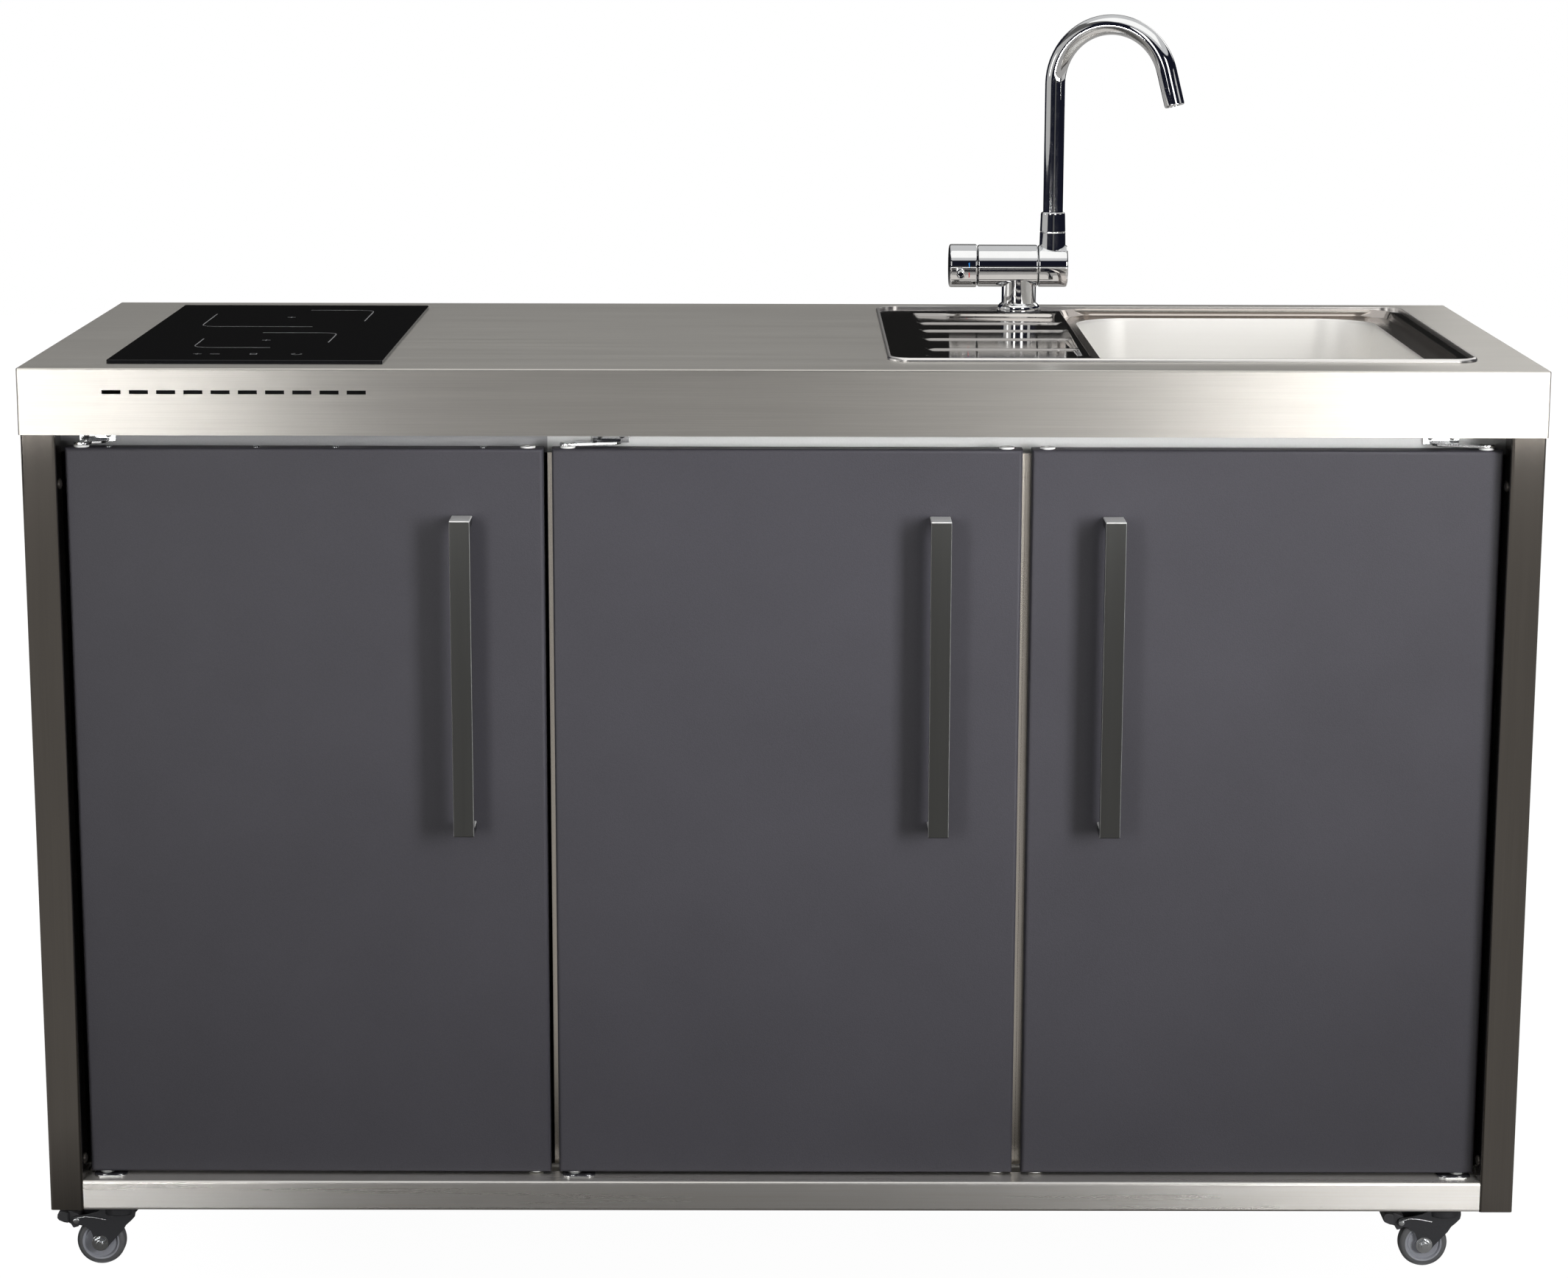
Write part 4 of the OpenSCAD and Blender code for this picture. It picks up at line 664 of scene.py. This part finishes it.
def makeTap():
    x, y, axis = tap["x"], tap["y"], tap["axisZ"]
    r = tap["barrelRadius"]
    bm = bmesh.new()
    foot = tap["deckZ"]
    addTurned(bm, [(0, 0), (0, 22.6), (0.5, 23.2), (4.6, 23.2), (6.2, 22.7), (7.7, 21.6), (8.8, 20.2),
        (9.6, 19.0), (36, 19.0), (36, 0)],
        (x, y, foot), (0, 0, 1))
    addTurned(bm, [(0, 0), (0, r - 2.1), (0.25, r - 1.1), (0.9, r - 0.35), (1.9, r), (64.6, r),
        (65.6, r - 0.35), (66.25, r - 1.1), (66.5, r - 2.1), (66.5, 0)], (x - 46.5, y, axis), (1, 0, 0), 96)
    addTurned(bm, [(66, 0), (66, 11.95), (77, 11.95), (79.5, 11), (79.5, 0)], (x - 46.5, y, axis),
        (1, 0, 0), 40)
    addRod(bm, 15.5, (x, y, 938), (x, y, 899.3), 32)
    addRod(bm, 23.5, (x, y, 938.4), (x, y, 928.6), 6)
    finishPiece(bm, "tap_barrel", "frame", "tap_chrome", ["tap_body"], 28)
    bm = bmesh.new()
    seal = [(0.1, 23.4), (0.1, 24.3), (0.9, 24.6), (1.2, 24.2), (1.2, 23.4)]
    addTurned(bm, seal, (x, y, foot), (0, 0, 1), 56)
    finishPiece(bm, "tap_seal", "frame", "dark_plastic")

    bm = bmesh.new()
    k = tap["knobRadius"]
    addTurned(bm, [(4.5, 0), (4.5, 9.5), (0.0, 9.5), (0.0, k - 3.0), (0.3, k - 1.6), (0.9, k - 0.6),
        (1.9, k - 0.08), (2.8, k), (28.9, k), (29.8, k - 0.3), (30.6, k - 1.0), (30.9, k - 2.1),
        (30.9, 17.6), (12.5, 17.6), (12.5, 0)],
        (tap["knobX"], y, axis), (1, 0, 0), 96)
    finishPiece(bm, "mixer_knob", "tap_handle", "tap_chrome", ["tap_knob"], 28)
    bm = bmesh.new()
    inward = Matrix.Rotation(math.radians(tap["leverTurn"]), 3, "X") @ Vector((0, 1, 0))
    tip = Vector((tap["leverX"], y, axis)) - inward * (k + 19)
    addTurned(bm, [(0, 3.0), (0.0, 3.9), (0.3, 4.4), (1.0, 4.7), (5.0, 4.7), (6.5, 4.3), (8.5, 3.3),
        (16, 3.4), (19.5, 4.4), (21.2, 4.4), (21.2, 0)], tip, inward, 32)
    addTurned(bm, [(0, 3.0), (3.2, 2.8), (3.2, 0)], tip, inward, 6)
    finishPiece(bm, "mixer_lever", "tap_handle", "tap_chrome", ["tap_lever"], 35)
    along = Matrix(((0, 0, 1, 0), (1, 0, 0, 0), (0, 1, 0, 0), (0, 0, 0, 1)))
    for name, low, high in (("cold_mark", 0.2, 5.4), ("hot_mark", -11.2, -5.5)):
        bm = bmesh.new()
        start, end = math.asin(low / k), math.asin(high / k)
        outline = []
        for lift, angles in ((0.06, range(7)), (-0.3, range(6, -1, -1))):
            for i in angles:
                a = start + (end - start) * i / 6
                outline.append((-(k + lift) * math.cos(a), (k + lift) * math.sin(a)))
        addPlate(bm, outline, 1.0, Matrix.Translation((tap["markX"], y, axis)) @ along)
        finishPiece(bm, name, "tap_handle", "blue_mark" if name == "cold_mark" else "red_mark")

    bm = bmesh.new()
    hubX = tap["hubX"]
    addTurned(bm, [(0.3, 12.4), (0.3, r - 2.1), (0.55, r - 1.1), (1.2, r - 0.35), (2.2, r), (29.8, r),
        (31.3, r - 0.2), (32.2, r - 0.9), (32.5, r - 2.0), (32.5, r - 6), (31.9, r - 6.6), (31.9, 0),
        (15.4, 0), (15.4, 12.4), (0.3, 12.4)],
        (hubX - 16.25, y, axis), (1, 0, 0), 96)
    addTurned(bm, [(15, 0), (15, 14.8), (24, 14.4), (37.0, 14.1), (37.5, 13.7),
        (38.1, 13.7), (38.6, 14.05), (57.4, 13.45), (58.7, 13.0), (59.5, 12.0), (59.5, 11.1),
        (23, 11.1), (23, 0)],
        (hubX, y, axis), (0, 0, 1), 72)
    finishPiece(bm, "folding_hub", "tap_fold", "tap_chrome", ["spout_hub"], 28)

    turn = Matrix.Translation((hubX, y, 0)) @ Matrix.Rotation(math.radians(tap["spoutTurn"]), 4, "Z")
    archZ, archR, tipLength, nozzle = tap["archZ"], tap["archRadius"], tap["tipLength"], tap["nozzleLength"]
    sweep = Matrix.Rotation(math.radians(tap["archSweep"]), 3, "Y")
    bm = bmesh.new()
    bmesh.ops.create_circle(bm, cap_ends=False, segments=48, radius=tap["tubeRadius"],
        matrix=Matrix.Translation((0, 0, axis + tap["tubeStart"])))
    raised = bmesh.ops.extrude_edge_only(bm, edges=bm.edges[:])["geom"]
    verts = pick(raised, bmesh.types.BMVert)
    edges = pick(raised, bmesh.types.BMEdge)
    bmesh.ops.translate(bm, vec=(0, 0, archZ - axis - tap["tubeStart"]), verts=verts)
    swept = bmesh.ops.spin(bm, geom=verts + edges, cent=(archR, 0, archZ), axis=(0, 1, 0),
        angle=math.radians(tap["archSweep"]), steps=60, use_merge=False, use_duplicate=False)["geom_last"]
    edges = pick(swept, bmesh.types.BMEdge)
    raised = bmesh.ops.extrude_edge_only(bm, edges=edges)["geom"]
    verts = pick(raised, bmesh.types.BMVert)
    end = sweep @ Vector((0, 0, 1))
    bmesh.ops.translate(bm, vec=end * (tipLength - nozzle + 0.5), verts=verts)
    bmesh.ops.remove_doubles(bm, verts=bm.verts, dist=0.001)
    bmesh.ops.holes_fill(bm, edges=[e for e in bm.edges if e.is_boundary], sides=0)
    bmesh.ops.recalc_face_normals(bm, faces=bm.faces)
    bmesh.ops.transform(bm, matrix=turn, verts=bm.verts)
    finishPiece(bm, "swan_spout", "tap_spout", "tap_chrome", ["spout"], 40)

    bm = bmesh.new()
    tipStart = Vector((archR, 0, archZ)) + sweep @ Vector((-archR, 0, 0)) + end * (tipLength - nozzle)
    addTurned(bm, [(0, 0), (0, 10.5), (0.25, 10.85), (0.6, 10.95), (18.6, 10.95), (19.9, 10.7), (20.7, 10.2),
        (21, 9.5), (21, 8.9), (18.5, 8.7), (18.5, 0)],
        turn @ tipStart, turn.to_3x3() @ end, 56)
    finishPiece(bm, "spout_nozzle", "tap_spout", "tap_chrome", ["aerator"], 30)


makeTap()
print("tap done")


# Castors

castor = {"x": 686, "rows": {"front": -244, "rear": 256}, "trail": 20, "wheel": 25, "width": 17,
    "pedalBack": 44, "pedalZ": 49}


def makeCastor(side, row):
    sign = -1 if side == "left" else 1
    cx, cy = sign * castor["x"], castor["rows"][row]
    wx, wz = cx - castor["trail"], castor["wheel"]
    tag = row + "_" + side
    crown = Matrix.Translation((cx, cy, 0))
    bm = bmesh.new()
    addTurned(bm, [(55.8, 4.06), (55.8, 17.2), (57.0, 18), (62.6, 18), (64.6, 16.6), (64.7, 14),
        (64.7, 4.06)], (cx, cy, 0), (0, 0, 1), 48)
    arm = [(-15.5, 64.4), (15.5, 64.4), (17.0, 62.5), (17.4, 58), (16.6, 53.5), (12.5, 49), (7.5, 44.5),
        (4.2, 39.0), (-1.7, 32.7), (-9.0, 24.6), (-13.4, 19.0), (-16.5, 17.4), (-20.0, 16.9), (-24.2, 18.2),
        (-27.2, 21.6), (-27.8, 25.5), (-27.0, 31.0), (-29.5, 38.0), (-36.0, 43.2), (-43.0, 44.6),
        (-47.2, 46.8), (-48.2, 50.0), (-46.4, 53.4), (-42.0, 54.2), (-33.0, 55.6), (-22.5, 58.5),
        (-17.5, 61.2)]
    for y0 in (-12.0, 9.5):
        upright = crown @ Matrix.Translation((0, y0 + 2.5, 0)) @ Matrix.Rotation(math.radians(90), 4, "X")
        addPlate(bm, arm, 2.5, upright)
    softenEdges(bm, 0.4, 2, 50)
    finishPiece(bm, "castor_fork_" + tag, "castor_" + tag, "castor_black",
        ["fork_" + tag], 30)
    bm = bmesh.new()
    for s in (-1, 1):
        addTurned(bm, [(-1, 0), (-1, 8.6), (0.8, 8.6), (1.2, 8.2), (1.2, 4)],
            (wx, cy + s * 12.05, wz), (0, s, 0), 32)
        addRod(bm, 6.4, (wx, cy + s * 13.1, wz), (wx, cy + s * 16.2, wz), 6)
        addTurned(bm, [(16, 0), (16, 3.9), (17.9, 3.9), (18.4, 3.3), (18.4, 0)], (wx, cy, wz), (0, s, 0), 24)
    addRod(bm, 3.9, (wx, cy - 12, wz), (wx, cy + 12, wz), 24)
    if row == "front":
        pinX, pinZ = cx - castor["pedalBack"], castor["pedalZ"]
        addRod(bm, 1.95, (pinX, cy - 12.6, pinZ), (pinX, cy + 12.6, pinZ), 20)
        for s in (-1, 1):
            addTurned(bm, [(12.0, 0), (12.0, 3.4), (12.9, 3.2), (13.3, 2.2), (13.4, 0)],
                (pinX, cy, pinZ), (0, s, 0), 20)
    softenEdges(bm, 0.25, 1, 50)
    finishPiece(bm, "axle_bolt_" + tag, "castor_" + tag, "zinc_bolt", (), 30)

    bm = bmesh.new()
    half = castor["width"] / 2
    for s in (-1, 1):
        addTurned(bm, [(half - 0.2, 4.1), (half - 0.2, 8.8), (half - 1.9, 9.6), (half - 1.9, 15.2),
            (half - 2.3, 15.5), (half - 2.3, 16.2), (half - 1.6, 16.8), (half - 0.3, 17.4), (half, 18.2),
            (half, 19.05), (0, 19.05), (0, 4.1)], (wx, cy, wz), (0, s, 0), 64)
    finishPiece(bm, "wheel_centre_" + tag, "wheel_" + tag, "wheel_hub", ["wheel_" + tag], 30)
    bm = bmesh.new()
    addTurned(bm, [(-half + 0.1, 19.05), (-half + 0.1, 21.6), (-half + 0.7, 22.9), (-half + 2.2, 24.3),
        (-half + 4.5, 25), (half - 4.5, 25), (half - 2.2, 24.3), (half - 0.7, 22.9), (half - 0.1, 21.6),
        (half - 0.1, 19.05)], (wx, cy, wz), (0, 1, 0), 72)
    finishPiece(bm, "tyre_" + tag, "wheel_" + tag, "tyre_rubber", (), 25)


def makeBrake(side):
    sign = -1 if side == "left" else 1
    ex, cy, ez = sign * castor["x"] - castor["pedalBack"], castor["rows"]["front"], castor["pedalZ"]
    body = "brake_" + side
    bm = bmesh.new()
    upright = Matrix.Translation((ex, cy + 9.1, ez)) @ Matrix.Rotation(math.radians(90), 4, "X")
    addPlate(bm, [(-13, 10.6), (-6, 9.8), (1, 7), (4, 3), (4, -3), (1.5, -7.5), (-4, -9), (-6.5, -4.5),
        (-12, -1.5)], 18.2, upright)
    upright = Matrix.Translation((ex, cy + 14, ez)) @ Matrix.Rotation(math.radians(90), 4, "X")
    addPlate(bm, [(-19.4, 3.2), (-19, 7), (-17.2, 10.4), (-13, 11), (-8, 9.2), (-8, -2), (-12.5, -1.2),
        (-17.5, 1)], 28, upright)
    softenEdges(bm, 1.1, 3, 40)
    finishPiece(bm, "brake_lever_" + side, body, "dark_plastic", ["brake_pedal_" + side], 30)
    bm = bmesh.new()
    for s in (-1, 1):
        route = [(-3, 0.5), (2, 3.4), (9, 4.9), (18, 4.4), (26, 2.6), (30.7, 1.8)]
        for (x0, z0), (x1, z1) in zip(route, route[1:]):
            addRod(bm, 0.85, (ex + x0, cy + s * 13.1, ez + z0), (ex + x1, cy + s * 13.1, ez + z1), 12)
            bmesh.ops.create_uvsphere(bm, u_segments=12, v_segments=8, radius=0.85,
                matrix=Matrix.Translation((ex + x1, cy + s * 13.1, ez + z1)))
    finishPiece(bm, "brake_spring_" + side, "castor_front_" + side, "zinc_bolt")


for side in ("left", "right"):
    for row in ("front", "rear"):
        makeCastor(side, row)
    makeBrake(side)
print("castors done")


# Hinges, screws and other small fittings

# Hinge pins: place in x, side the arm runs to, length of its run
fittings = {"hingePins": [(-694, 1, 12.6), (-213.5, 1, 42), (695.5, -1, 42)], "pinY": -261.5,
    "armZ": 860.3, "railY": -240, "footZ": 105.5, "legScrewX": 714.5, "legScrewY": (-275.5, 287.5),
    "legScrewZ": (823, 124.5), "doorScrews": (-667, -521, -443, -297), "clips": (-571, -385)}


def makeHinges():
    bm = bmesh.new()
    pinY, armZ, railY, footZ = (fittings[key] for key in ("pinY", "armZ", "railY", "footZ"))
    screw = [(0, 0), (0, 2.6), (1.1, 2.9), (1.5, 2.2), (1.6, 0)]
    footScrew = [(0, 0), (0, 3.4), (0.6, 3.1), (0.95, 1.6), (1, 0)]
    for x, s, run in fittings["hingePins"]:
        endX = x + s * run
        outline = [(x - s * 8, pinY), (x - s * 5.5, pinY - 5.8), (x, pinY - 8), (x + s * 5.5, pinY - 7),
            (endX - s * 3, pinY + 2.5), (endX + s * 6, pinY + 4.5), (endX + s * 10, pinY + 9.5),
            (endX + s * 10, railY), (endX - s * 8, railY), (endX - s * 10, pinY + 13),
            (x + s * 3, pinY + 7.4), (x - s * 4.5, pinY + 6.6)]
        addPlate(bm, outline, 2.5, Matrix.Translation((0, 0, armZ)))
        addBox(bm, (endX - 18, railY - 2.5, armZ), (endX + 18, railY, armZ + 12))
        for dx in (-11, 11):
            addTurned(bm, screw, (endX + dx, railY - 2.4, armZ + 7), (0, -1, 0), 16)
        addTurned(bm, [(0, 0), (0, 8), (1.8, 8), (2.4, 7.2), (2.4, 0)], (x, pinY, armZ + 1.0), (0, 0, 1), 32)
        addRod(bm, 2.95, (x, pinY, armZ - 12), (x, pinY, armZ + 1), 24)
        addRod(bm, 2.95, (x, pinY, 106.5), (x, pinY, 118.5), 24)
        footX = x + s * 5
        addPlate(bm, roundedOutline(34, 22, 8, 8, (footX, pinY - 8)), 1.5, Matrix.Translation((0, 0, footZ)))
        for dx in (-9, 9):
            addTurned(bm, footScrew, (footX + s * 2 + dx * 0.9, pinY - 13.5, footZ + 1.3), (0, 0, 1), 16)
    softenEdges(bm, 0.3, 2, 50)
    finishPiece(bm, "hinge_arms", "frame", "hinge_chrome", ["door_hinges"], 30)


def makeLegScrews():
    bm = bmesh.new()
    head = [(0, 0), (0, 5.5), (0.9, 5.2), (1.8, 4.0), (2.3, 2.4), (2.4, 2.0), (1.2, 1.9), (1.2, 0)]
    for s in (-1, 1):
        for y in fittings["legScrewY"]:
            for z in fittings["legScrewZ"]:
                addTurned(bm, head, (s * fittings["legScrewX"], y, z), (-s, 0, 0), 24)
    finishPiece(bm, "frame_screws", "frame", "dark_screw", ["leg_screws"], 30)


# Screws along the top fold of the fridge door, and two clips under the front apron
def makeDoorScrews():
    bm = bmesh.new()
    head = [(0, 0), (0, 3.6), (0.8, 3.5), (1.4, 2.6), (1.6, 1.2), (1.6, 0)]
    stud = [(0, 0), (0, 5.2), (2.0, 4.6), (3.4, 2.6), (3.6, 0)]
    for x in fittings["doorScrews"]:
        addTurned(bm, head, (x, -262.5, 858.0), (0, 0, 1), 20)
    finishPiece(bm, "door_screws", "fridge_door", "zinc_bolt", (), 30)
    bm = bmesh.new()
    for x in fittings["clips"]:
        addTurned(bm, stud, (x, -248, 874.2), (0, 0, -1), 20)
        addBox(bm, (x - 9, -256, 873.2), (x + 9, -241, 874.4))
    finishPiece(bm, "apron_clips", "frame", "dark_screw", (), 30)


makeHinges()
makeLegScrews()
makeDoorScrews()
print("fittings done")


# Floor, surroundings, lights and camera

studio = {
    "floorRadius": 9.0, "floorColor": (0.3, 0.3, 0.3), "floorGlow": 1.06, "floorTurn": (0.5, 1.2),
    "worldDiffuse": 0.07, "wallRadius": 6.0, "wallHeight": 5.2, "wallMiddle": 2.604,
    "wallDark": (0.009, 0.01, 0.019), "wallBright": 0.66, "wallTurn": (4.9, 5.15),
    # The bottom of the surroundings stands in for the floor in reflections; it is darker near the unit, a
    # painted shadow
    "shadowPaintedNear": (0.078, 0.075, 0.071), "reflectedFloorFar": (0.4, 0.39, 0.38), "shadowPaintedFade": (0.72, 1.05),
    "shadowPaintedCentre": (-0.12, 0, 0),
}
# Lamps: name, azimuth, height, distance, power, size, spread, height they aim at
lamps = [
    ("leftLamp", -27, 1.5, 2.9, 5.9, (0.6, 2.0), 66, 1.25),
    ("rightLamp", 40, 1.5, 2.9, 17.5, (0.6, 2.0), 66, 1.25),
    ("topLamp", 0, 3.4, 0.6, 14, (2.4, 1.6), 180, 0.55),
]
# Boards seen only in reflections: name, azimuth, distance, size, height, tilt, strength
boards = [
    ("low_left", -31.3, 4.2, (2.5, 0.21), 0.52, 0, 20.0),
    ("low_middle", 0, 4.4, (1.6, 0.22), 0.51, 0, 1.5),
    ("low_step", 8, 4.3, (0.6, 0.21), 0.52, 0, 3.0),
    ("low_right", 31.2, 4.2, (3.1, 0.21), 0.52, 0, 22.0),
    ("middle", 8, 4.3, (1.0, 0.5), 0.92, 0, 0.1),
    ("low_far_left", -111, 4.2, (2.25, 0.32), 0.46, 0, 1.8),
    ("low_far_right", 106, 4.2, (4.2, 0.6), 0.33, 0, 0.6),
    ("side_left", -88, 4.6, (6.4, 2.6), 2.05, 0, 0.5),
    ("side_high", -84, 4.3, (0.8, 0.9), 1.73, 0, 2.5),
    ("side_right", 76, 4.4, (1.6, 1.2), 1.88, 0, 0.6),
    ("high_left", -28, 4.0, (0.75, 1.8), 2.18, 0, 3.0),
    ("high_right", 24, 4.0, (0.95, 1.8), 2.18, 0, 3.0),
    ("back_dark", 180, 5.6, (10.0, 3.0), 1.55, 0, 0.012),
    ("back_high", 180, 5.4, (9.0, 1.5), 3.95, 0, 0.3),
    ("back_right", 145, 4.6, (2.8, 1.4), 3.0, 0, 1.5),
    ("ceiling_left", -90, 3.4, (4.5, 3.6), 3.5, 90, 0.12),
    ("overhead", 0, 0.8, (3.6, 2.2), 3.35, 90, 1.2),
]


def whiteForCamera(tree):
    rays = addNode(tree, "ShaderNodeLightPath")
    seen = rays.outputs["Is Camera Ray"]
    for ray in ("Is Glossy Ray", "Is Transmission Ray"):
        either = addNode(tree, "ShaderNodeMath", operation="MAXIMUM")
        tree.links.new(seen, either.inputs[0])
        tree.links.new(rays.outputs[ray], either.inputs[1])
        seen = either.outputs[0]
    return seen


def makeWorld():
    world = bpy.data.worlds.new("studio")
    bpy.context.scene.world = world
    world.use_nodes = True
    tree = world.node_tree
    link = tree.links.new
    tree.nodes.clear()
    plain = addNode(tree, "ShaderNodeBackground",
        {"Color": (0.96, 0.98, 1.0, 1), "Strength": studio["worldDiffuse"]})
    white = addNode(tree, "ShaderNodeBackground", {"Color": (1, 1, 1, 1), "Strength": 1.0})
    mix = addNode(tree, "ShaderNodeMixShader")
    output = addNode(tree, "ShaderNodeOutputWorld")
    link(whiteForCamera(tree), mix.inputs[0])
    link(plain.outputs[0], mix.inputs[1])
    link(white.outputs[0], mix.inputs[2])
    link(mix.outputs[0], output.inputs["Surface"])


def bareMaterial(name):
    material = bpy.data.materials.new(name)
    material.use_nodes = True
    material.node_tree.nodes.clear()
    return material, material.node_tree, addNode(material.node_tree, "ShaderNodeOutputMaterial")


def emitting(name, color, strength):
    material, tree, output = bareMaterial(name)
    glow = addNode(tree, "ShaderNodeEmission", {"Color": (*color, 1), "Strength": strength})
    tree.links.new(glow.outputs[0], output.inputs["Surface"])
    return material, glow


def stageObject(bm, name, material, glossyOnly=True):
    mesh = bpy.data.meshes.new(name)
    bm.to_mesh(mesh)
    bm.free()
    mesh.materials.append(material)
    piece = addObject(name, mesh)
    if glossyOnly:
        piece.visible_camera = False
        piece.visible_diffuse = False
        piece.visible_shadow = False
        piece.visible_transmission = False
        piece.visible_volume_scatter = False
    return piece


def makeFloor():
    bm = bmesh.new()
    bmesh.ops.create_circle(bm, cap_ends=True, segments=96, radius=studio["floorRadius"])
    material, tree, output = bareMaterial("floor")
    link = tree.links.new
    paint = addNode(tree, "ShaderNodeBsdfDiffuse", {"Color": (*studio["floorColor"], 1)})
    white = addNode(tree, "ShaderNodeEmission", {"Color": (1, 1, 1, 1), "Strength": studio["floorGlow"]})
    soft = addNode(tree, "ShaderNodeMixShader")
    coords = addNode(tree, "ShaderNodeTexCoord")
    length = addNode(tree, "ShaderNodeVectorMath", operation="LENGTH")
    link(coords.outputs["Object"], length.inputs[0])
    fade = addRange(tree, length.outputs["Value"], 0.92, 1.0, *studio["floorTurn"])
    share = addNode(tree, "ShaderNodeMath", operation="MULTIPLY")
    link(fade, share.inputs[0])
    link(whiteForCamera(tree), share.inputs[1])
    link(share.outputs[0], soft.inputs[0])
    link(paint.outputs[0], soft.inputs[1])
    link(white.outputs[0], soft.inputs[2])
    link(soft.outputs[0], output.inputs["Surface"])
    stageObject(bm, "floor", material, False)


def makeReflections():
    bm = bmesh.new()
    bmesh.ops.create_cone(bm, cap_ends=True, segments=96, radius1=studio["wallRadius"],
        radius2=studio["wallRadius"], depth=studio["wallHeight"],
        matrix=Matrix.Translation((0, 0, studio["wallMiddle"])))
    material, glow = emitting("surroundings", (1, 1, 1), 1.0)
    tree = material.node_tree
    link = tree.links.new
    coords = addNode(tree, "ShaderNodeTexCoord")
    split = addNode(tree, "ShaderNodeSeparateXYZ")
    link(coords.outputs["Object"], split.inputs[0])
    lift = addRange(tree, split.outputs["Z"], 0.0, 1.0, *studio["wallTurn"])
    bright = studio["wallBright"]
    above = addTint(tree, lift, studio["wallDark"], (bright, bright, bright))
    # Bottom cap: the floor as seen in reflections, darker near the unit, a painted shadow
    floorCapMask = addRange(tree, split.outputs["Z"], 0.0, 1.0, 0.01, 0.02)
    fromCentre = addNode(tree, "ShaderNodeVectorMath", {1: studio["shadowPaintedCentre"]}, operation="SUBTRACT")
    length = addNode(tree, "ShaderNodeVectorMath", operation="LENGTH")
    link(coords.outputs["Object"], fromCentre.inputs[0])
    link(fromCentre.outputs["Vector"], length.inputs[0])
    spread = addRange(tree, length.outputs["Value"], 0.0, 1.0, *studio["shadowPaintedFade"])
    below = addTint(tree, spread, studio["shadowPaintedNear"], studio["reflectedFloorFar"])
    mix = addNode(tree, "ShaderNodeMix", data_type="RGBA")
    link(floorCapMask, mix.inputs[0])
    link(below, mix.inputs[6])
    link(above, mix.inputs[7])
    link(mix.outputs[2], glow.inputs["Color"])
    stageObject(bm, "surroundings", material)
    for name, azimuth, distance, size, height, tilt, strength in boards:
        bm = bmesh.new()
        angle = math.radians(azimuth)
        turn = Matrix.Rotation(angle, 4, "Z") @ Matrix.Rotation(math.radians(90 - tilt), 4, "X")
        place = Matrix.Translation((math.sin(angle) * distance, -math.cos(angle) * distance, height))
        bmesh.ops.create_grid(bm, x_segments=2, y_segments=2, size=0.5,
            matrix=place @ turn @ Matrix.Diagonal((size[0], size[1], 1, 1)))
        stageObject(bm, name, emitting(name, (1, 0.99, 0.97), strength)[0])


def makeLamp(name, azimuth, height, distance, power, size, spread, aimHeight):
    data = bpy.data.lights.new(name, "AREA")
    data.shape = "RECTANGLE"
    data.size, data.size_y = size
    data.energy = power
    data.spread = math.radians(spread)
    piece = addObject(name, data)
    angle = math.radians(azimuth)
    piece.location = (math.sin(angle) * distance, -math.cos(angle) * distance, height)
    aim = Vector((0, -0.1, aimHeight)) - piece.location
    piece.rotation_euler = aim.to_track_quat("-Z", "Y").to_euler()
    piece.visible_glossy = False


view = {"place": (-0.0082, -3.9069, 1.3922), "yaw": -0.1435, "pitch": 11.888, "roll": 0.1446,
    "lens": 85.36, "shiftY": 0.0254}


def makeCamera():
    yaw, pitch, roll = (math.radians(view[key]) for key in ("yaw", "pitch", "roll"))
    forward = Vector((-math.sin(yaw) * math.cos(pitch), math.cos(yaw) * math.cos(pitch), -math.sin(pitch)))
    right = Vector((math.cos(yaw), math.sin(yaw), 0))
    upward = right.cross(forward)
    right, upward = (math.cos(roll) * right + math.sin(roll) * upward,
        -math.sin(roll) * right + math.cos(roll) * upward)
    data = bpy.data.cameras.new("camera")
    data.lens = view["lens"]
    data.sensor_width = 36
    data.sensor_fit = "HORIZONTAL"
    data.shift_y = view["shiftY"]
    camera = addObject("camera", data)
    turn = Matrix((right, upward, -forward)).transposed().to_4x4()
    camera.matrix_world = Matrix.Translation(view["place"]) @ turn
    bpy.context.scene.camera = camera


makeWorld()
makeFloor()
makeReflections()
for lamp in lamps:
    makeLamp(*lamp)
makeCamera()
bpy.context.scene.view_settings.view_transform = "Standard"
print("studio done")
